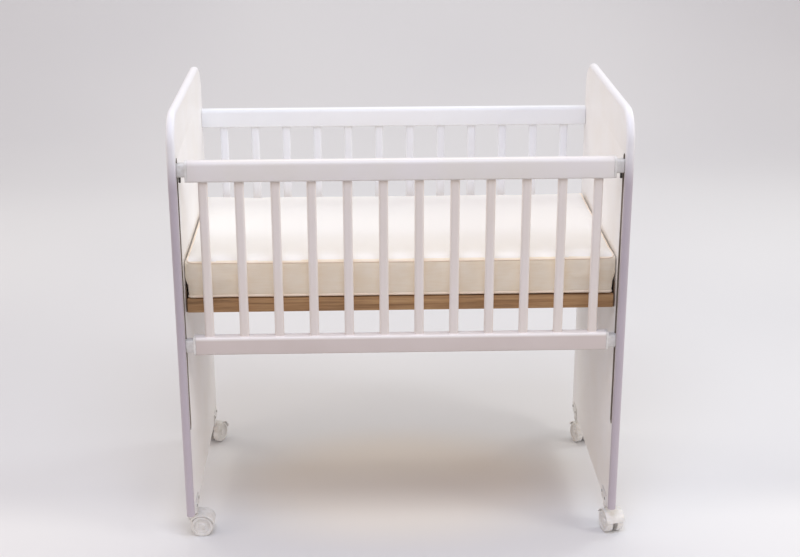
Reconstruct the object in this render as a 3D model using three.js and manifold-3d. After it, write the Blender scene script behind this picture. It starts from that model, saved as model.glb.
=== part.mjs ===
// Baby crib on casters: two shaped end panels, a fixed slatted back, a drop gate that slides in
// grooves and is held by a sprung latch at each end, a slatted base and a mattress.
//
// Frame: millimetres, +Z up, X along the crib, the drop gate faces -Y. The origin is on the floor,
// under the middle of the end panels.

import * as THREE from 'three';
import { mergeGeometries, mergeVertices } from 'three/addons/utils/BufferGeometryUtils.js';
import Module from 'manifold-3d';

const wasm = await Module();
wasm.setup();

// ---------------------------------------------------------------------------------------------
// Driving dimensions
// ---------------------------------------------------------------------------------------------

// Whole crib
const LENGTH = 965; // over the outer faces of the end panels
const DEPTH = 564; // end panels, front edge to back edge
const HEIGHT = 984; // floor to the top of the end panels
const GROUND_CLEARANCE = 68; // floor to the bottom of the end panels

// Clearances
const SEAT = 0.3; // between pieces that rest on or are fixed to each other
const BITE = 0.5; // how far pieces of one body run into each other
const SLIDE = 1; // each side of a piece that slides in the grooves
const OVERCUT = 1; // how far a cutting tool runs past the face that it opens

// End panels
const PANEL_THICKNESS = 18;
const PANEL_CORNER_RADIUS = 68; // the two top corners
const PANEL_EDGE_FLAT = 2; // flat left along the middle of the rounded-over edge
const GROOVE_WIDTH = 20;
const GROOVE_BACK = 6; // board left behind the groove
const GROOVE_SETBACK = 22; // front edge of the panel to the groove's centre line

// Slatted sides: the gate and the fixed back are the same frame
const SIDE_HEIGHT = 431; // bottom of the bottom rail to top of the top rail
const RAIL_THICKNESS = 25;
const TOP_RAIL_HEIGHT = 45;
const TOP_RAIL_RADIUS = 10; // the two upper edges of a top rail
const BOTTOM_RAIL_HEIGHT = 40;
const RAIL_EDGE_RADIUS = 4; // every other long edge of a rail
const SLAT_COUNT = 12;
const SLAT_WIDTH = 20;
const SLAT_THICKNESS = 12;
const SLAT_EDGE_RADIUS = 4.5;
const SLAT_EDGE_FACETS = 2;
const SLAT_MORTISE = 12; // depth of a slat's mortise in a rail
const SLAT_END_INSET = 30.2; // end of a gate rail to the middle of its nearest slat

// Where the sides stand
const GATE_SETDOWN = 98; // top of the panels to the top of the raised gate
const BACK_SETDOWN = 112; // top of the panels to the top of the fixed back
const BACK_SETBACK = 14; // back edge of the panel to the middle of the fixed back

// Gate sliders and travel
const GATE_DROP = 185; // how far the gate comes down
const GATE_LIFT = 10; // how far it lifts off its latches
const SLIDER_CAP = 5; // cap that covers the end of a rail
const SLIDER_BLOCK = 15.2; // block between the cap and the panel
const SLIDER_HEIGHT = 28;
const SLIDER_WIDTH = 22;
const SLIDER_EDGE_RADIUS = 3;
const TONGUE_CLEARANCE = 0.7; // tongue in the groove to the ledge of the keeper
const TOP_SLIDER_DROP = 6; // top of the top rail to the top of its slider
const BOTTOM_SLIDER_RISE = 5; // bottom of the bottom rail to the bottom of its slider
const SPIGOT_RADIUS = 4.5; // spigot that plugs the slider into the rail
const SPIGOT_LENGTH = 22;

// Latches and keepers
const LATCH_SIZE = 9; // square section of the latch bolt
const LATCH_THROW = 3.5; // nose of the bolt past the tongue
const LATCH_NOSE_SLOPE = 4; // height of the ramp on the nose
const LATCH_TRAVEL = 4.2;
const LATCH_BODY = 13; // length of the bolt inside the slider
const LATCH_TAB_LENGTH = 4.5; // finger tab, along the crib
const LATCH_TAB_WIDTH = 6;
const LATCH_TAB_DROP = 13; // finger tab below the slider
const SPRING_RADIUS = 3.2; // middle of the wire
const SPRING_WIRE = 0.8; // wire diameter
const SPRING_LENGTH = 9;
const SPRING_TURNS = 4;
const KEEPER_THICKNESS = 1.5;
const KEEPER_LENGTH = 76;
const KEEPER_WIDTH = 18;
const KEEPER_CORNER_RADIUS = 2; // the two lower corners; the upper end is round
const KEEPER_LEDGE = 3.5; // the ledge that carries the bolt, off the face of the keeper
const KEEPER_LEDGE_WIDTH = 12;
const KEEPER_SCREW_INSET = 9;
const KEEPER_SCREW_LENGTH = 5.8;
const KEEPER_SCREW_DOME = 0.4; // height of a screw head off the face of the keeper

// Base and mattress
const BASE_SETDOWN = 412; // top of the panels to the top of the slatted base
const BASE_RAIL_HEIGHT = 30;
const BASE_RAIL_THICKNESS = 22;
const BASE_END_GAP = 4.5; // base to each end panel
const BED_SIDE_GAP = 6.5; // base and mattress to the gate and the back
const BASE_SLAT_COUNT = 9;
const BASE_SLAT_WIDTH = 60;
const BASE_SLAT_THICKNESS = 8;
const BASE_REBATE = 12; // width of the rebate that carries the slats
const BASE_SLAT_SINK = 0.5; // top of the rails to the top of the slats
const BASE_SLAT_END_GAP = 1; // end of a slat to the shoulder of its rebate
const MATTRESS_THICKNESS = 86;
const MATTRESS_END_GAP = 7.5;
const MATTRESS_CORNER_RADIUS = 28;
const MATTRESS_EDGE_RADIUS = 9;

// Steel angles that carry the base
const ANGLE_THICKNESS = 2;
const ANGLE_REACH = 25; // under the base
const ANGLE_RISE = 22; // above the top of the base
const ANGLE_INSET = 10; // front or back of the base to the end of an angle
const ANGLE_SCREW_COUNT = 3;
const ANGLE_SCREW_INSET = 18; // end of an angle to its first screw
const ANGLE_SCREW_HEIGHT = 12; // above the top of the base

// Casters
const CASTER_INSET = 52; // edge of the panel to the stem
const CASTER_SWIVELS = { front_left: 0, front_right: -75, back_left: 65, back_right: -75 }; // deg
const CASTER_TRAIL = 20; // stem to axle
const WHEEL_RADIUS = 25;
const WHEEL_WIDTH = 15;
const WHEEL_GAP = 1; // between a wheel and the web
const TREAD_CHAMFER = 2.5;
const WHEEL_RIM = 7.5; // width of the rim round the dish in the outer face of a wheel
const WHEEL_DISH = 3; // depth of the dish
const HUB_RADIUS = 7.5; // hub in the middle of the dish
const HUB_SETBACK = 1; // outer face of a wheel to the face of its hub
const WEB_THICKNESS = 9; // web between the two wheels
const AXLE_RADIUS = 3;
const AXLE_CLEARANCE = 0.3;
const BOSS_RADIUS = 9; // boss of the web round the axle
const HOOD_GAP = 1.5; // tread to hood
const HOOD_WALL = 2.5;
const HOOD_FROM = 12; // degrees above the trailing side
const HOOD_TO = 152;
const STEM_RADIUS = 4;
const STEM_LENGTH = 34; // above the bottom edge of the panel
const STEM_CLEARANCE = 0.8;
const NECK_RADIUS = 11;
const NECK_ROOT = 2; // how far the web runs up into the neck
const PLATE_THICKNESS = 2;
const PLATE_WIDTH = 54;
const PLATE_RISE = 22; // up the inner face of the panel
const PLATE_SETBACK = 2; // outer face of the panel to the edge of the plate under it
const PLATE_SCREW_SPACING = 38;
const PLATE_SCREW_HEIGHT = 12; // above the bottom edge of the panel

// Fasteners
const BOLT_RADIUS = 3;
const BOLT_CLEARANCE = 0.5;
const BOLT_HEAD_RADIUS = 7;
const BOLT_HEAD_HEIGHT = 3;
const BOLT_SOCKET = 4; // across the flats of the hexagon socket
const BOLT_REACH = 44; // into the end of a back rail
const NUT_RADIUS = 5;
const NUT_LENGTH = 18;
const NUT_SETBACK = 34; // end of a back rail to its barrel nut
const SCREW_RADIUS = 1.7;
const SCREW_LENGTH = 12;
const SCREW_POINT = 4.3; // length of the point
const SCREW_HEAD_RADIUS = 3.6;
const SCREW_HEAD_HEIGHT = 2.2;
const SCREW_CROWN_RADIUS = 2.5; // flatter middle of the head
const SCREW_CROWN_HEIGHT = 0.3;
const SCREW_CLEARANCE = 0.35;

// ---------------------------------------------------------------------------------------------
// Levels and planes worked out from the driving dimensions
// ---------------------------------------------------------------------------------------------

const outerFace = LENGTH / 2;
const innerFace = outerFace - PANEL_THICKNESS;
const panelMiddle = outerFace - PANEL_THICKNESS / 2;
const panelEdgeRadius = (PANEL_THICKNESS - PANEL_EDGE_FLAT) / 2;
const grooveFloor = outerFace - GROOVE_BACK;
const keeperFace = grooveFloor - SEAT - KEEPER_THICKNESS;

const gateY = -DEPTH / 2 + GROOVE_SETBACK;
const backY = DEPTH / 2 - BACK_SETBACK;
const bedFront = gateY + RAIL_THICKNESS / 2 + BED_SIDE_GAP;
const bedBack = backY - RAIL_THICKNESS / 2 - BED_SIDE_GAP;
const bedMiddle = (bedFront + bedBack) / 2;

const gateBottom = HEIGHT - GATE_SETDOWN - SIDE_HEIGHT;
const backBottom = HEIGHT - BACK_SETDOWN - SIDE_HEIGHT;
const topRailBottom = SIDE_HEIGHT - TOP_RAIL_HEIGHT; // above the bottom of its side
const backRailHalf = innerFace - SEAT;
const gateRailHalf = innerFace - SLIDE - SLIDER_BLOCK - SLIDER_CAP - SEAT;
const slatPitch = (2 * (gateRailHalf - SLAT_END_INSET)) / (SLAT_COUNT - 1);
const slatXs = Array.from({ length: SLAT_COUNT }, (_, i) => (i - (SLAT_COUNT - 1) / 2) * slatPitch);

// Middles of the sliders, above the bottom of the gate
const topSliderMiddle = SIDE_HEIGHT - TOP_SLIDER_DROP - SLIDER_HEIGHT / 2;
const bottomSliderMiddle = BOTTOM_SLIDER_RISE + SLIDER_HEIGHT / 2;
const latchZ = gateBottom + topSliderMiddle;
const grooveTop = latchZ + SLIDER_HEIGHT / 2 + GATE_LIFT + SLIDE;
const grooveBottom = gateBottom + BOTTOM_SLIDER_RISE - GATE_DROP - SLIDE;

// Along the slider, from the end of its rail
const capEnd = SEAT + SLIDER_CAP;
const blockEnd = capEnd + SLIDER_BLOCK;
const tongueDepth = keeperFace - KEEPER_LEDGE - TONGUE_CLEARANCE - innerFace;
const tongueEnd = blockEnd + SLIDE + tongueDepth;
const boltBack = tongueEnd - LATCH_BODY;
const channelBottom = boltBack - SPRING_LENGTH - 2 * SEAT;

const keeperTop = grooveTop - SEAT;
const keeperBottom = keeperTop - KEEPER_LENGTH;
const keeperScrewZs = [keeperBottom + KEEPER_SCREW_INSET, keeperTop - KEEPER_SCREW_INSET];

const baseEnd = innerFace - BASE_END_GAP;
const baseTop = HEIGHT - BASE_SETDOWN;
const baseBottom = baseTop - BASE_RAIL_HEIGHT;
const angleHalf = (bedBack - bedFront) / 2 - ANGLE_INSET;
const angleScrewZ = baseTop + ANGLE_SCREW_HEIGHT;
const angleScrewYs = Array.from({ length: ANGLE_SCREW_COUNT }, (_, i) =>
  bedMiddle + (angleHalf - ANGLE_SCREW_INSET) * ((2 * i) / (ANGLE_SCREW_COUNT - 1) - 1));

const casterY = DEPTH / 2 - CASTER_INSET;
const plateBottom = GROUND_CLEARANCE - SEAT - PLATE_THICKNESS;
const plateScrewZ = GROUND_CLEARANCE + PLATE_SCREW_HEIGHT;
const neckTop = plateBottom - SEAT;
const neckBottom = 2 * WHEEL_RADIUS + HOOD_GAP;
const stemTop = GROUND_CLEARANCE + STEM_LENGTH;
const hoodInside = WHEEL_RADIUS + HOOD_GAP;
const hoodOutside = hoodInside + HOOD_WALL;
const wheelInside = WEB_THICKNESS / 2 + WHEEL_GAP;
const wheelOutside = wheelInside + WHEEL_WIDTH;

const backRailMiddles = [
  backBottom + BOTTOM_RAIL_HEIGHT / 2,
  backBottom + SIDE_HEIGHT - TOP_RAIL_HEIGHT / 2,
];

// ---------------------------------------------------------------------------------------------
// Finishes
// ---------------------------------------------------------------------------------------------

const finish = (color, roughness, metalness) =>
  new THREE.MeshStandardMaterial({ color, roughness, metalness });

const WHITE_LACQUER = finish(0xf1efec, 0.42, 0);
const BASE_WOOD = finish(0x9a7750, 0.6, 0);
const WHITE_PLASTIC = finish(0xf2f1ee, 0.35, 0);
const TRANSLUCENT_PLASTIC = finish(0xe4e3df, 0.3, 0);
const DARK_STEEL = finish(0x4a4846, 0.45, 0.8);
const ZINC_STEEL = finish(0xa9a8a4, 0.4, 0.9);
const TICKING = finish(0xf4f0e8, 0.9, 0);

// ---------------------------------------------------------------------------------------------
// Solid helpers
// ---------------------------------------------------------------------------------------------

const X = new THREE.Vector3(1, 0, 0);
const Y = new THREE.Vector3(0, 1, 0);
const Z = new THREE.Vector3(0, 0, 1);
const radians = THREE.MathUtils.degToRad;

/** The two ends of the crib. What is made for the right end is turned half round for the left. */
const ENDS = [{ end: 'left', turn: Math.PI }, { end: 'right', turn: 0 }];

/** Position-only, indexed copy of a geometry, with shared vertices merged. */
function welded(geometry) {
  const bare = geometry.clone();
  bare.deleteAttribute('normal');
  bare.deleteAttribute('uv');
  return mergeVertices(bare);
}

function toSolid(geometry) {
  const bare = welded(geometry);
  const mesh = new wasm.Mesh({
    numProp: 3,
    vertProperties: new Float32Array(bare.attributes.position.array),
    triVerts: new Uint32Array(bare.index.array),
  });
  return new wasm.Manifold(mesh);
}

function toGeometry(solid) {
  const { vertProperties, triVerts } = solid.getMesh();
  const geometry = new THREE.BufferGeometry();
  geometry.setAttribute('position', new THREE.BufferAttribute(new Float32Array(vertProperties), 3));
  geometry.setIndex(new THREE.BufferAttribute(new Uint32Array(triVerts), 1));
  return geometry;
}

/** The body with each tool taken out of it. */
function cut(body, tools) {
  return toGeometry(tools.reduce((solid, tool) => solid.subtract(toSolid(tool)), toSolid(body)));
}

/** All the shapes joined into one body. */
function fuse([first, ...rest]) {
  return toGeometry(rest.reduce((solid, shape) => solid.add(toSolid(shape)), toSolid(first)));
}

/** Separate copies of one body as one geometry, each turned about Z and then moved. */
function copies(body, places) {
  const bare = welded(body);
  return mergeGeometries(places.map(({ x = 0, y = 0, z = 0, turn = 0 }) =>
    bare.clone().rotateZ(turn).translate(x, y, z)));
}

/** The body reflected across X = 0, with its faces still pointing out. */
function mirrored(body) {
  const copy = welded(body).scale(-1, 1, 1);
  const corners = copy.index.array;
  for (let i = 0; i < corners.length; i += 3) {
    [corners[i + 1], corners[i + 2]] = [corners[i + 2], corners[i + 1]];
  }
  return copy;
}

/** Points on an arc, from one angle to another in degrees, in equal steps. */
function arc(x, y, radius, from, to, steps) {
  return Array.from({ length: steps + 1 }, (_, i) => {
    const angle = radians(from + ((to - from) * i) / steps);
    return [x + radius * Math.cos(angle), y + radius * Math.sin(angle)];
  });
}

/** Closed outline through the points, without any that repeats the one before it. */
function polygon(points) {
  const corners = points.map(([a, b]) => new THREE.Vector2(a, b));
  return new THREE.Shape(corners.filter((corner, i) => corner.distanceTo(corners.at(i - 1)) > 1e-6));
}

/** Outline round the origin: a radius for its upper corners, one for its lower corners, and the
 *  number of facets that round each corner. */
function roundedRectangle(width, height, [upper, lower], facets) {
  const [w, h] = [width / 2, height / 2];
  const corner = (sideX, sideY, radius, start) =>
    arc(sideX * (w - radius), sideY * (h - radius), radius, start, start + 90, facets);
  return polygon([
    ...corner(1, -1, lower, -90), ...corner(1, 1, upper, 0),
    ...corner(-1, 1, upper, 90), ...corner(-1, -1, lower, 180),
  ]);
}

function extruded(shape, depth) {
  return new THREE.ExtrudeGeometry(shape, { depth, bevelEnabled: false });
}

/** Prism along X: the outline's first axis is Y and its second is Z. */
function prismX(shape, from, to) {
  const body = extruded(shape, to - from);
  return body.applyMatrix4(new THREE.Matrix4().makeBasis(Y, Z, X)).translate(from, 0, 0);
}

/** Prism along Y: the outline's first axis is X and its second is Z. */
function prismY(shape, from, to) {
  return extruded(shape, to - from).rotateX(Math.PI / 2).translate(0, to, 0);
}

/** Prism along Z. */
function prismZ(shape, from, to) {
  return extruded(shape, to - from).translate(0, 0, from);
}

function box([x0, x1], [y0, y1], [z0, z1]) {
  const body = new THREE.BoxGeometry(x1 - x0, y1 - y0, z1 - z0);
  return body.translate((x0 + x1) / 2, (y0 + y1) / 2, (z0 + z1) / 2);
}

/** Cylinder on the axis 'x', 'y' or 'z', between two places on it. */
function rod(axis, radius, from, to, sides = 12) {
  const body = new THREE.CylinderGeometry(radius, radius, to - from, sides);
  if (axis === 'x') body.rotateZ(-Math.PI / 2);
  if (axis === 'z') body.rotateX(Math.PI / 2);
  const middle = (from + to) / 2;
  return body.translate(...['x', 'y', 'z'].map((name) => (name === axis ? middle : 0)));
}

/** Body turned round the Y axis, from [radius, place on the axis] points in rising order. */
function lathe(points, sides) {
  return new THREE.LatheGeometry(points.map(([r, y]) => new THREE.Vector2(r, y)), sides);
}

/** A named mesh, placed in its group. */
function piece(name, geometry, material, { x = 0, y = 0, z = 0, turn = 0 } = {}) {
  const mesh = new THREE.Mesh(geometry, material);
  mesh.name = name;
  mesh.position.set(x, y, z);
  mesh.rotation.z = turn;
  return mesh;
}

function group(children, { x = 0, y = 0, z = 0, turn = 0 } = {}) {
  const holder = new THREE.Group();
  holder.position.set(x, y, z);
  holder.rotation.z = turn;
  holder.add(...children);
  return holder;
}

// ---------------------------------------------------------------------------------------------
// Screws, bolts and nuts, made for the right end
// ---------------------------------------------------------------------------------------------

/** Pan-head wood screw driven along +X, with the seat of its head at the origin. */
function panHeadScrew() {
  const profile = [
    [0, -SCREW_HEAD_HEIGHT],
    [SCREW_CROWN_RADIUS, SCREW_CROWN_HEIGHT - SCREW_HEAD_HEIGHT],
    [SCREW_HEAD_RADIUS, BITE],
    [SCREW_RADIUS, BITE],
    [SCREW_RADIUS, SCREW_LENGTH - SCREW_POINT],
    [0, SCREW_LENGTH],
  ];
  return lathe(profile, 8).rotateZ(-Math.PI / 2);
}

/** Short raised-head screw driven along +X through a keeper whose face is at the origin. */
function keeperScrew() {
  const profile = [
    [0, -KEEPER_SCREW_DOME],
    [SCREW_HEAD_RADIUS, 0],
    [SCREW_HEAD_RADIUS, BITE],
    [SCREW_RADIUS, BITE],
    [SCREW_RADIUS, KEEPER_SCREW_LENGTH],
    [0, KEEPER_SCREW_LENGTH],
  ];
  return lathe(profile, 8).rotateZ(-Math.PI / 2);
}

/** Hole from one X to another in the board of an end panel for a screw at a Y and a height. */
function screwHole(y, z, from, to) {
  return rod('x', SCREW_RADIUS + SCREW_CLEARANCE, from, to, 8).translate(0, y, z);
}

/** Bolt from an end panel into a back rail, screwed into the barrel nut that crosses the rail. */
function connectorBolt() {
  const seat = outerFace - SEAT - BOLT_HEAD_HEIGHT;
  const head = rod('x', BOLT_HEAD_RADIUS, seat, seat + BOLT_HEAD_HEIGHT, 16);
  const shank = rod('x', BOLT_RADIUS, backRailHalf - BOLT_REACH, seat + BITE, 8);
  const nut = rod('y', NUT_RADIUS, -NUT_LENGTH / 2, NUT_LENGTH / 2, 10);
  const socket = rod('x', BOLT_SOCKET / Math.sqrt(3), seat + BITE, outerFace + OVERCUT, 6);
  return cut(fuse([head, shank, nut.translate(backRailHalf - NUT_SETBACK, 0, 0)]), [socket]);
}

/** Through hole and counterbore in the panel for a connector bolt. */
function connectorBoltHole(z) {
  const hole = rod('x', BOLT_RADIUS + BOLT_CLEARANCE, innerFace - OVERCUT, outerFace + OVERCUT, 8);
  const depth = BOLT_HEAD_HEIGHT + 2 * SEAT;
  const counterbore = rod(
    'x', BOLT_HEAD_RADIUS + BOLT_CLEARANCE, outerFace - depth, outerFace + OVERCUT, 16);
  return fuse([hole, counterbore]).translate(0, backY, z);
}

// ---------------------------------------------------------------------------------------------
// End panels
// ---------------------------------------------------------------------------------------------

/** Where pan-head screws go into an end panel, as [y, z]. */
const screwPlaces = [
  ...angleScrewYs.map((y) => [y, angleScrewZ]),
  ...[-casterY, casterY].flatMap((y) =>
    [-1, 1].map((side) => [y + (side * PLATE_SCREW_SPACING) / 2, plateScrewZ])),
];

/** The right end panel: a board with two round top corners and a rounded-over edge, its gate
 *  groove, and its bores for caster stems, screws and bolts. */
function endPanel() {
  const trimmed = 2 * panelEdgeRadius; // sawn off the bottom, which leaves that edge square
  const height = HEIGHT - GROUND_CLEARANCE + trimmed;
  const outline = roundedRectangle(DEPTH, height, [PANEL_CORNER_RADIUS, 0], 11);
  const board = new THREE.ExtrudeGeometry(outline, {
    depth: PANEL_EDGE_FLAT,
    bevelThickness: panelEdgeRadius,
    bevelSize: panelEdgeRadius,
    bevelOffset: -panelEdgeRadius,
    bevelSegments: 3,
  });
  board.applyMatrix4(new THREE.Matrix4().makeBasis(Y, Z, X));
  board.translate(innerFace + panelEdgeRadius, 0, HEIGHT - height / 2);
  const sawCut = box(
    [innerFace - OVERCUT, outerFace + OVERCUT], [-DEPTH, DEPTH],
    [GROUND_CLEARANCE - 2 * trimmed, GROUND_CLEARANCE]);

  const grooveEnd = GROOVE_WIDTH / 2;
  const grooveOutline = roundedRectangle(
    GROOVE_WIDTH, grooveTop - grooveBottom, [grooveEnd, grooveEnd], 5);
  const groove = prismX(grooveOutline, innerFace - OVERCUT, grooveFloor);
  groove.translate(0, gateY, (grooveTop + grooveBottom) / 2);

  const stemBore = rod(
    'z', STEM_RADIUS + STEM_CLEARANCE, GROUND_CLEARANCE - OVERCUT, stemTop + STEM_CLEARANCE);
  const stemBores = copies(stemBore.translate(panelMiddle, 0, 0), [{ y: -casterY }, { y: casterY }]);
  const keeperHoles = keeperScrewZs.map((z) =>
    screwHole(gateY, z, grooveFloor - OVERCUT, keeperFace + KEEPER_SCREW_LENGTH + SEAT));
  const plateHoles = screwPlaces.map(([y, z]) =>
    screwHole(y, z, innerFace - OVERCUT, innerFace + SCREW_LENGTH));
  return cut(board, [
    sawCut, groove, stemBores, ...keeperHoles, ...plateHoles,
    ...backRailMiddles.map(connectorBoltHole),
  ]);
}

function endPanels() {
  const right = endPanel();
  return group([
    piece('end_panel_left', mirrored(right), WHITE_LACQUER),
    piece('end_panel_right', right, WHITE_LACQUER),
  ]);
}

// ---------------------------------------------------------------------------------------------
// Slatted sides. Each is drawn about its own middle, standing on the bottom of its bottom rail.
// ---------------------------------------------------------------------------------------------

/** Mortises for the slats, cut from a level up or down into a rail. */
function mortises(from, to) {
  const radius = SLAT_EDGE_RADIUS + SEAT;
  const opening = roundedRectangle(
    SLAT_WIDTH + 2 * SEAT, SLAT_THICKNESS + 2 * SEAT, [radius, radius], SLAT_EDGE_FACETS);
  return copies(prismZ(opening, from, to), slatXs.map((x) => ({ x })));
}

function topRail(half, bores) {
  const outline = roundedRectangle(
    RAIL_THICKNESS, TOP_RAIL_HEIGHT, [TOP_RAIL_RADIUS, RAIL_EDGE_RADIUS], 4);
  const middle = topRailBottom + TOP_RAIL_HEIGHT / 2;
  const rail = prismX(outline, -half, half).translate(0, 0, middle);
  const slots = mortises(topRailBottom - OVERCUT, topRailBottom + SLAT_MORTISE);
  return cut(rail, [slots, ...bores({ middle, sliderMiddle: topSliderMiddle })]);
}

function bottomRail(half, bores) {
  const outline = roundedRectangle(
    RAIL_THICKNESS, BOTTOM_RAIL_HEIGHT, [RAIL_EDGE_RADIUS, RAIL_EDGE_RADIUS], 2);
  const middle = BOTTOM_RAIL_HEIGHT / 2;
  const rail = prismX(outline, -half, half).translate(0, 0, middle);
  const slots = mortises(BOTTOM_RAIL_HEIGHT - SLAT_MORTISE, BOTTOM_RAIL_HEIGHT + OVERCUT);
  return cut(rail, [slots, ...bores({ middle, sliderMiddle: bottomSliderMiddle })]);
}

function slat() {
  const outline = roundedRectangle(
    SLAT_WIDTH, SLAT_THICKNESS, [SLAT_EDGE_RADIUS, SLAT_EDGE_RADIUS], SLAT_EDGE_FACETS);
  const foot = BOTTOM_RAIL_HEIGHT - SLAT_MORTISE + SEAT;
  return prismZ(outline, foot, topRailBottom + SLAT_MORTISE - SEAT);
}

function slattedSide(name, half, bores) {
  const body = slat();
  const number = (i) => String(i + 1).padStart(2, '0');
  return [
    piece(`${name}_top_rail`, topRail(half, bores), WHITE_LACQUER),
    piece(`${name}_bottom_rail`, bottomRail(half, bores), WHITE_LACQUER),
    ...slatXs.map((x, i) => piece(`${name}_slat_${number(i)}`, body, WHITE_LACQUER, { x })),
  ];
}

/** Bores in the ends of a gate rail for the spigots of its sliders. */
function spigotBores({ sliderMiddle }) {
  const depth = SPIGOT_LENGTH + 2 * SEAT;
  const bore = rod('x', SPIGOT_RADIUS + SEAT, gateRailHalf - depth, gateRailHalf + OVERCUT);
  return [copies(bore, ENDS).translate(0, 0, sliderMiddle)];
}

/** Bores in the ends of a back rail for its connector bolts, and across it for their nuts. */
function connectorBores({ middle }) {
  const radius = BOLT_RADIUS + BOLT_CLEARANCE;
  const bolt = rod('x', radius, backRailHalf - BOLT_REACH - SEAT, backRailHalf + OVERCUT, 8);
  const nut = rod('y', NUT_RADIUS + SEAT, -NUT_LENGTH / 2 - SEAT, RAIL_THICKNESS, 10);
  const nutX = backRailHalf - NUT_SETBACK;
  return [copies(bolt, ENDS), copies(nut, [{ x: -nutX }, { x: nutX }])]
    .map((tool) => tool.translate(0, 0, middle));
}

// ---------------------------------------------------------------------------------------------
// Gate sliders and latches, made for the right end. X runs from the end of the rail, and Z is
// measured from the middle of the slider.
// ---------------------------------------------------------------------------------------------

/** A slider: a cap over the end of the rail, a block, and a tongue that runs in the groove. */
function slider(railHeight, railRise, upperRadius) {
  const capOutline = roundedRectangle(RAIL_THICKNESS, railHeight, [upperRadius, RAIL_EDGE_RADIUS], 4);
  const cap = prismX(capOutline, SEAT, capEnd).translate(0, 0, railRise);

  const blockEdge = SLIDER_EDGE_RADIUS;
  const blockOutline = roundedRectangle(SLIDER_WIDTH, SLIDER_HEIGHT, [blockEdge, blockEdge], 2);
  const block = prismX(blockOutline, capEnd - BITE, blockEnd);

  const tongueWidth = GROOVE_WIDTH - 2 * SLIDE;
  const tongueOutline = roundedRectangle(
    tongueWidth, SLIDER_HEIGHT, [tongueWidth / 2, tongueWidth / 2], 4);
  const tongue = prismX(tongueOutline, blockEnd - BITE, tongueEnd);
  return fuse([cap, block, tongue, rod('x', SPIGOT_RADIUS, -SPIGOT_LENGTH, SEAT + BITE)]);
}

/** What is cut out of a slider for its latch: the bolt's channel and the slot for the tab. */
function latchRoom() {
  const half = LATCH_SIZE / 2 + SEAT;
  const channel = box([channelBottom, tongueEnd + OVERCUT], [-half, half], [-half, half]);
  const slotHalf = LATCH_TAB_WIDTH / 2 + SEAT;
  const slotStart = boltBack - LATCH_TRAVEL - SEAT;
  const slot = box([slotStart, tongueEnd + OVERCUT], [-slotHalf, slotHalf], [-SLIDER_HEIGHT, 0]);
  return [channel, slot];
}

/** Latch bolt with a ramped nose and a finger tab under its back end. */
function latchBolt() {
  const [top, bottom, nose] = [LATCH_SIZE / 2, -LATCH_SIZE / 2, tongueEnd + LATCH_THROW];
  const tabFoot = -SLIDER_HEIGHT / 2 - LATCH_TAB_DROP;
  const outline = polygon([
    [boltBack, bottom], [nose, bottom], [nose, top - LATCH_NOSE_SLOPE],
    [nose - LATCH_THROW, top], [boltBack, top],
  ]);
  const bolt = prismY(outline, -LATCH_SIZE / 2, LATCH_SIZE / 2);
  const halfTab = LATCH_TAB_WIDTH / 2;
  const tab = box([boltBack, boltBack + LATCH_TAB_LENGTH], [-halfTab, halfTab], [tabFoot, 0]);
  return fuse([bolt, tab]);
}

/** Helix along X from the origin. */
class Helix extends THREE.Curve {
  constructor(radius, length, turns) {
    super();
    Object.assign(this, { radius, length, turns });
  }

  getPoint(t, target = new THREE.Vector3()) {
    const angle = 2 * Math.PI * this.turns * t;
    return target.set(this.length * t, this.radius * Math.cos(angle), this.radius * Math.sin(angle));
  }
}

/** Compression spring between the bolt and the bottom of its channel. */
function latchSpring() {
  const path = new Helix(SPRING_RADIUS, SPRING_LENGTH - SPRING_WIRE, SPRING_TURNS);
  const wire = polygon(arc(0, 0, SPRING_WIRE / 2, 0, 360, 5));
  const spring = new THREE.ExtrudeGeometry(wire, {
    steps: 8 * SPRING_TURNS, extrudePath: path, bevelEnabled: false,
  });
  return spring.translate(channelBottom + SEAT + SPRING_WIRE / 2, 0, 0);
}

/** Steel strip in the upper end of the groove, with the ledge that the bolt rests on and the
 *  two screws that hold it. */
function keeper() {
  const outline = roundedRectangle(
    KEEPER_WIDTH, KEEPER_LENGTH, [KEEPER_WIDTH / 2, KEEPER_CORNER_RADIUS], 4);
  const strip = prismX(outline, keeperFace, keeperFace + KEEPER_THICKNESS);
  strip.translate(0, gateY, (keeperTop + keeperBottom) / 2);
  const ledgeTop = latchZ - LATCH_SIZE / 2 - SEAT;
  const ledge = box(
    [keeperFace - KEEPER_LEDGE, keeperFace + BITE],
    [gateY - KEEPER_LEDGE_WIDTH / 2, gateY + KEEPER_LEDGE_WIDTH / 2],
    [ledgeTop - KEEPER_THICKNESS, ledgeTop]);
  const screws = keeperScrewZs.map((z) => keeperScrew().translate(keeperFace, gateY, z));
  return fuse([strip, ledge, ...screws]);
}

function keepers() {
  const right = keeper();
  return group([
    piece('keeper_left', mirrored(right), DARK_STEEL),
    piece('keeper_right', right, DARK_STEEL),
  ]);
}

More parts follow.
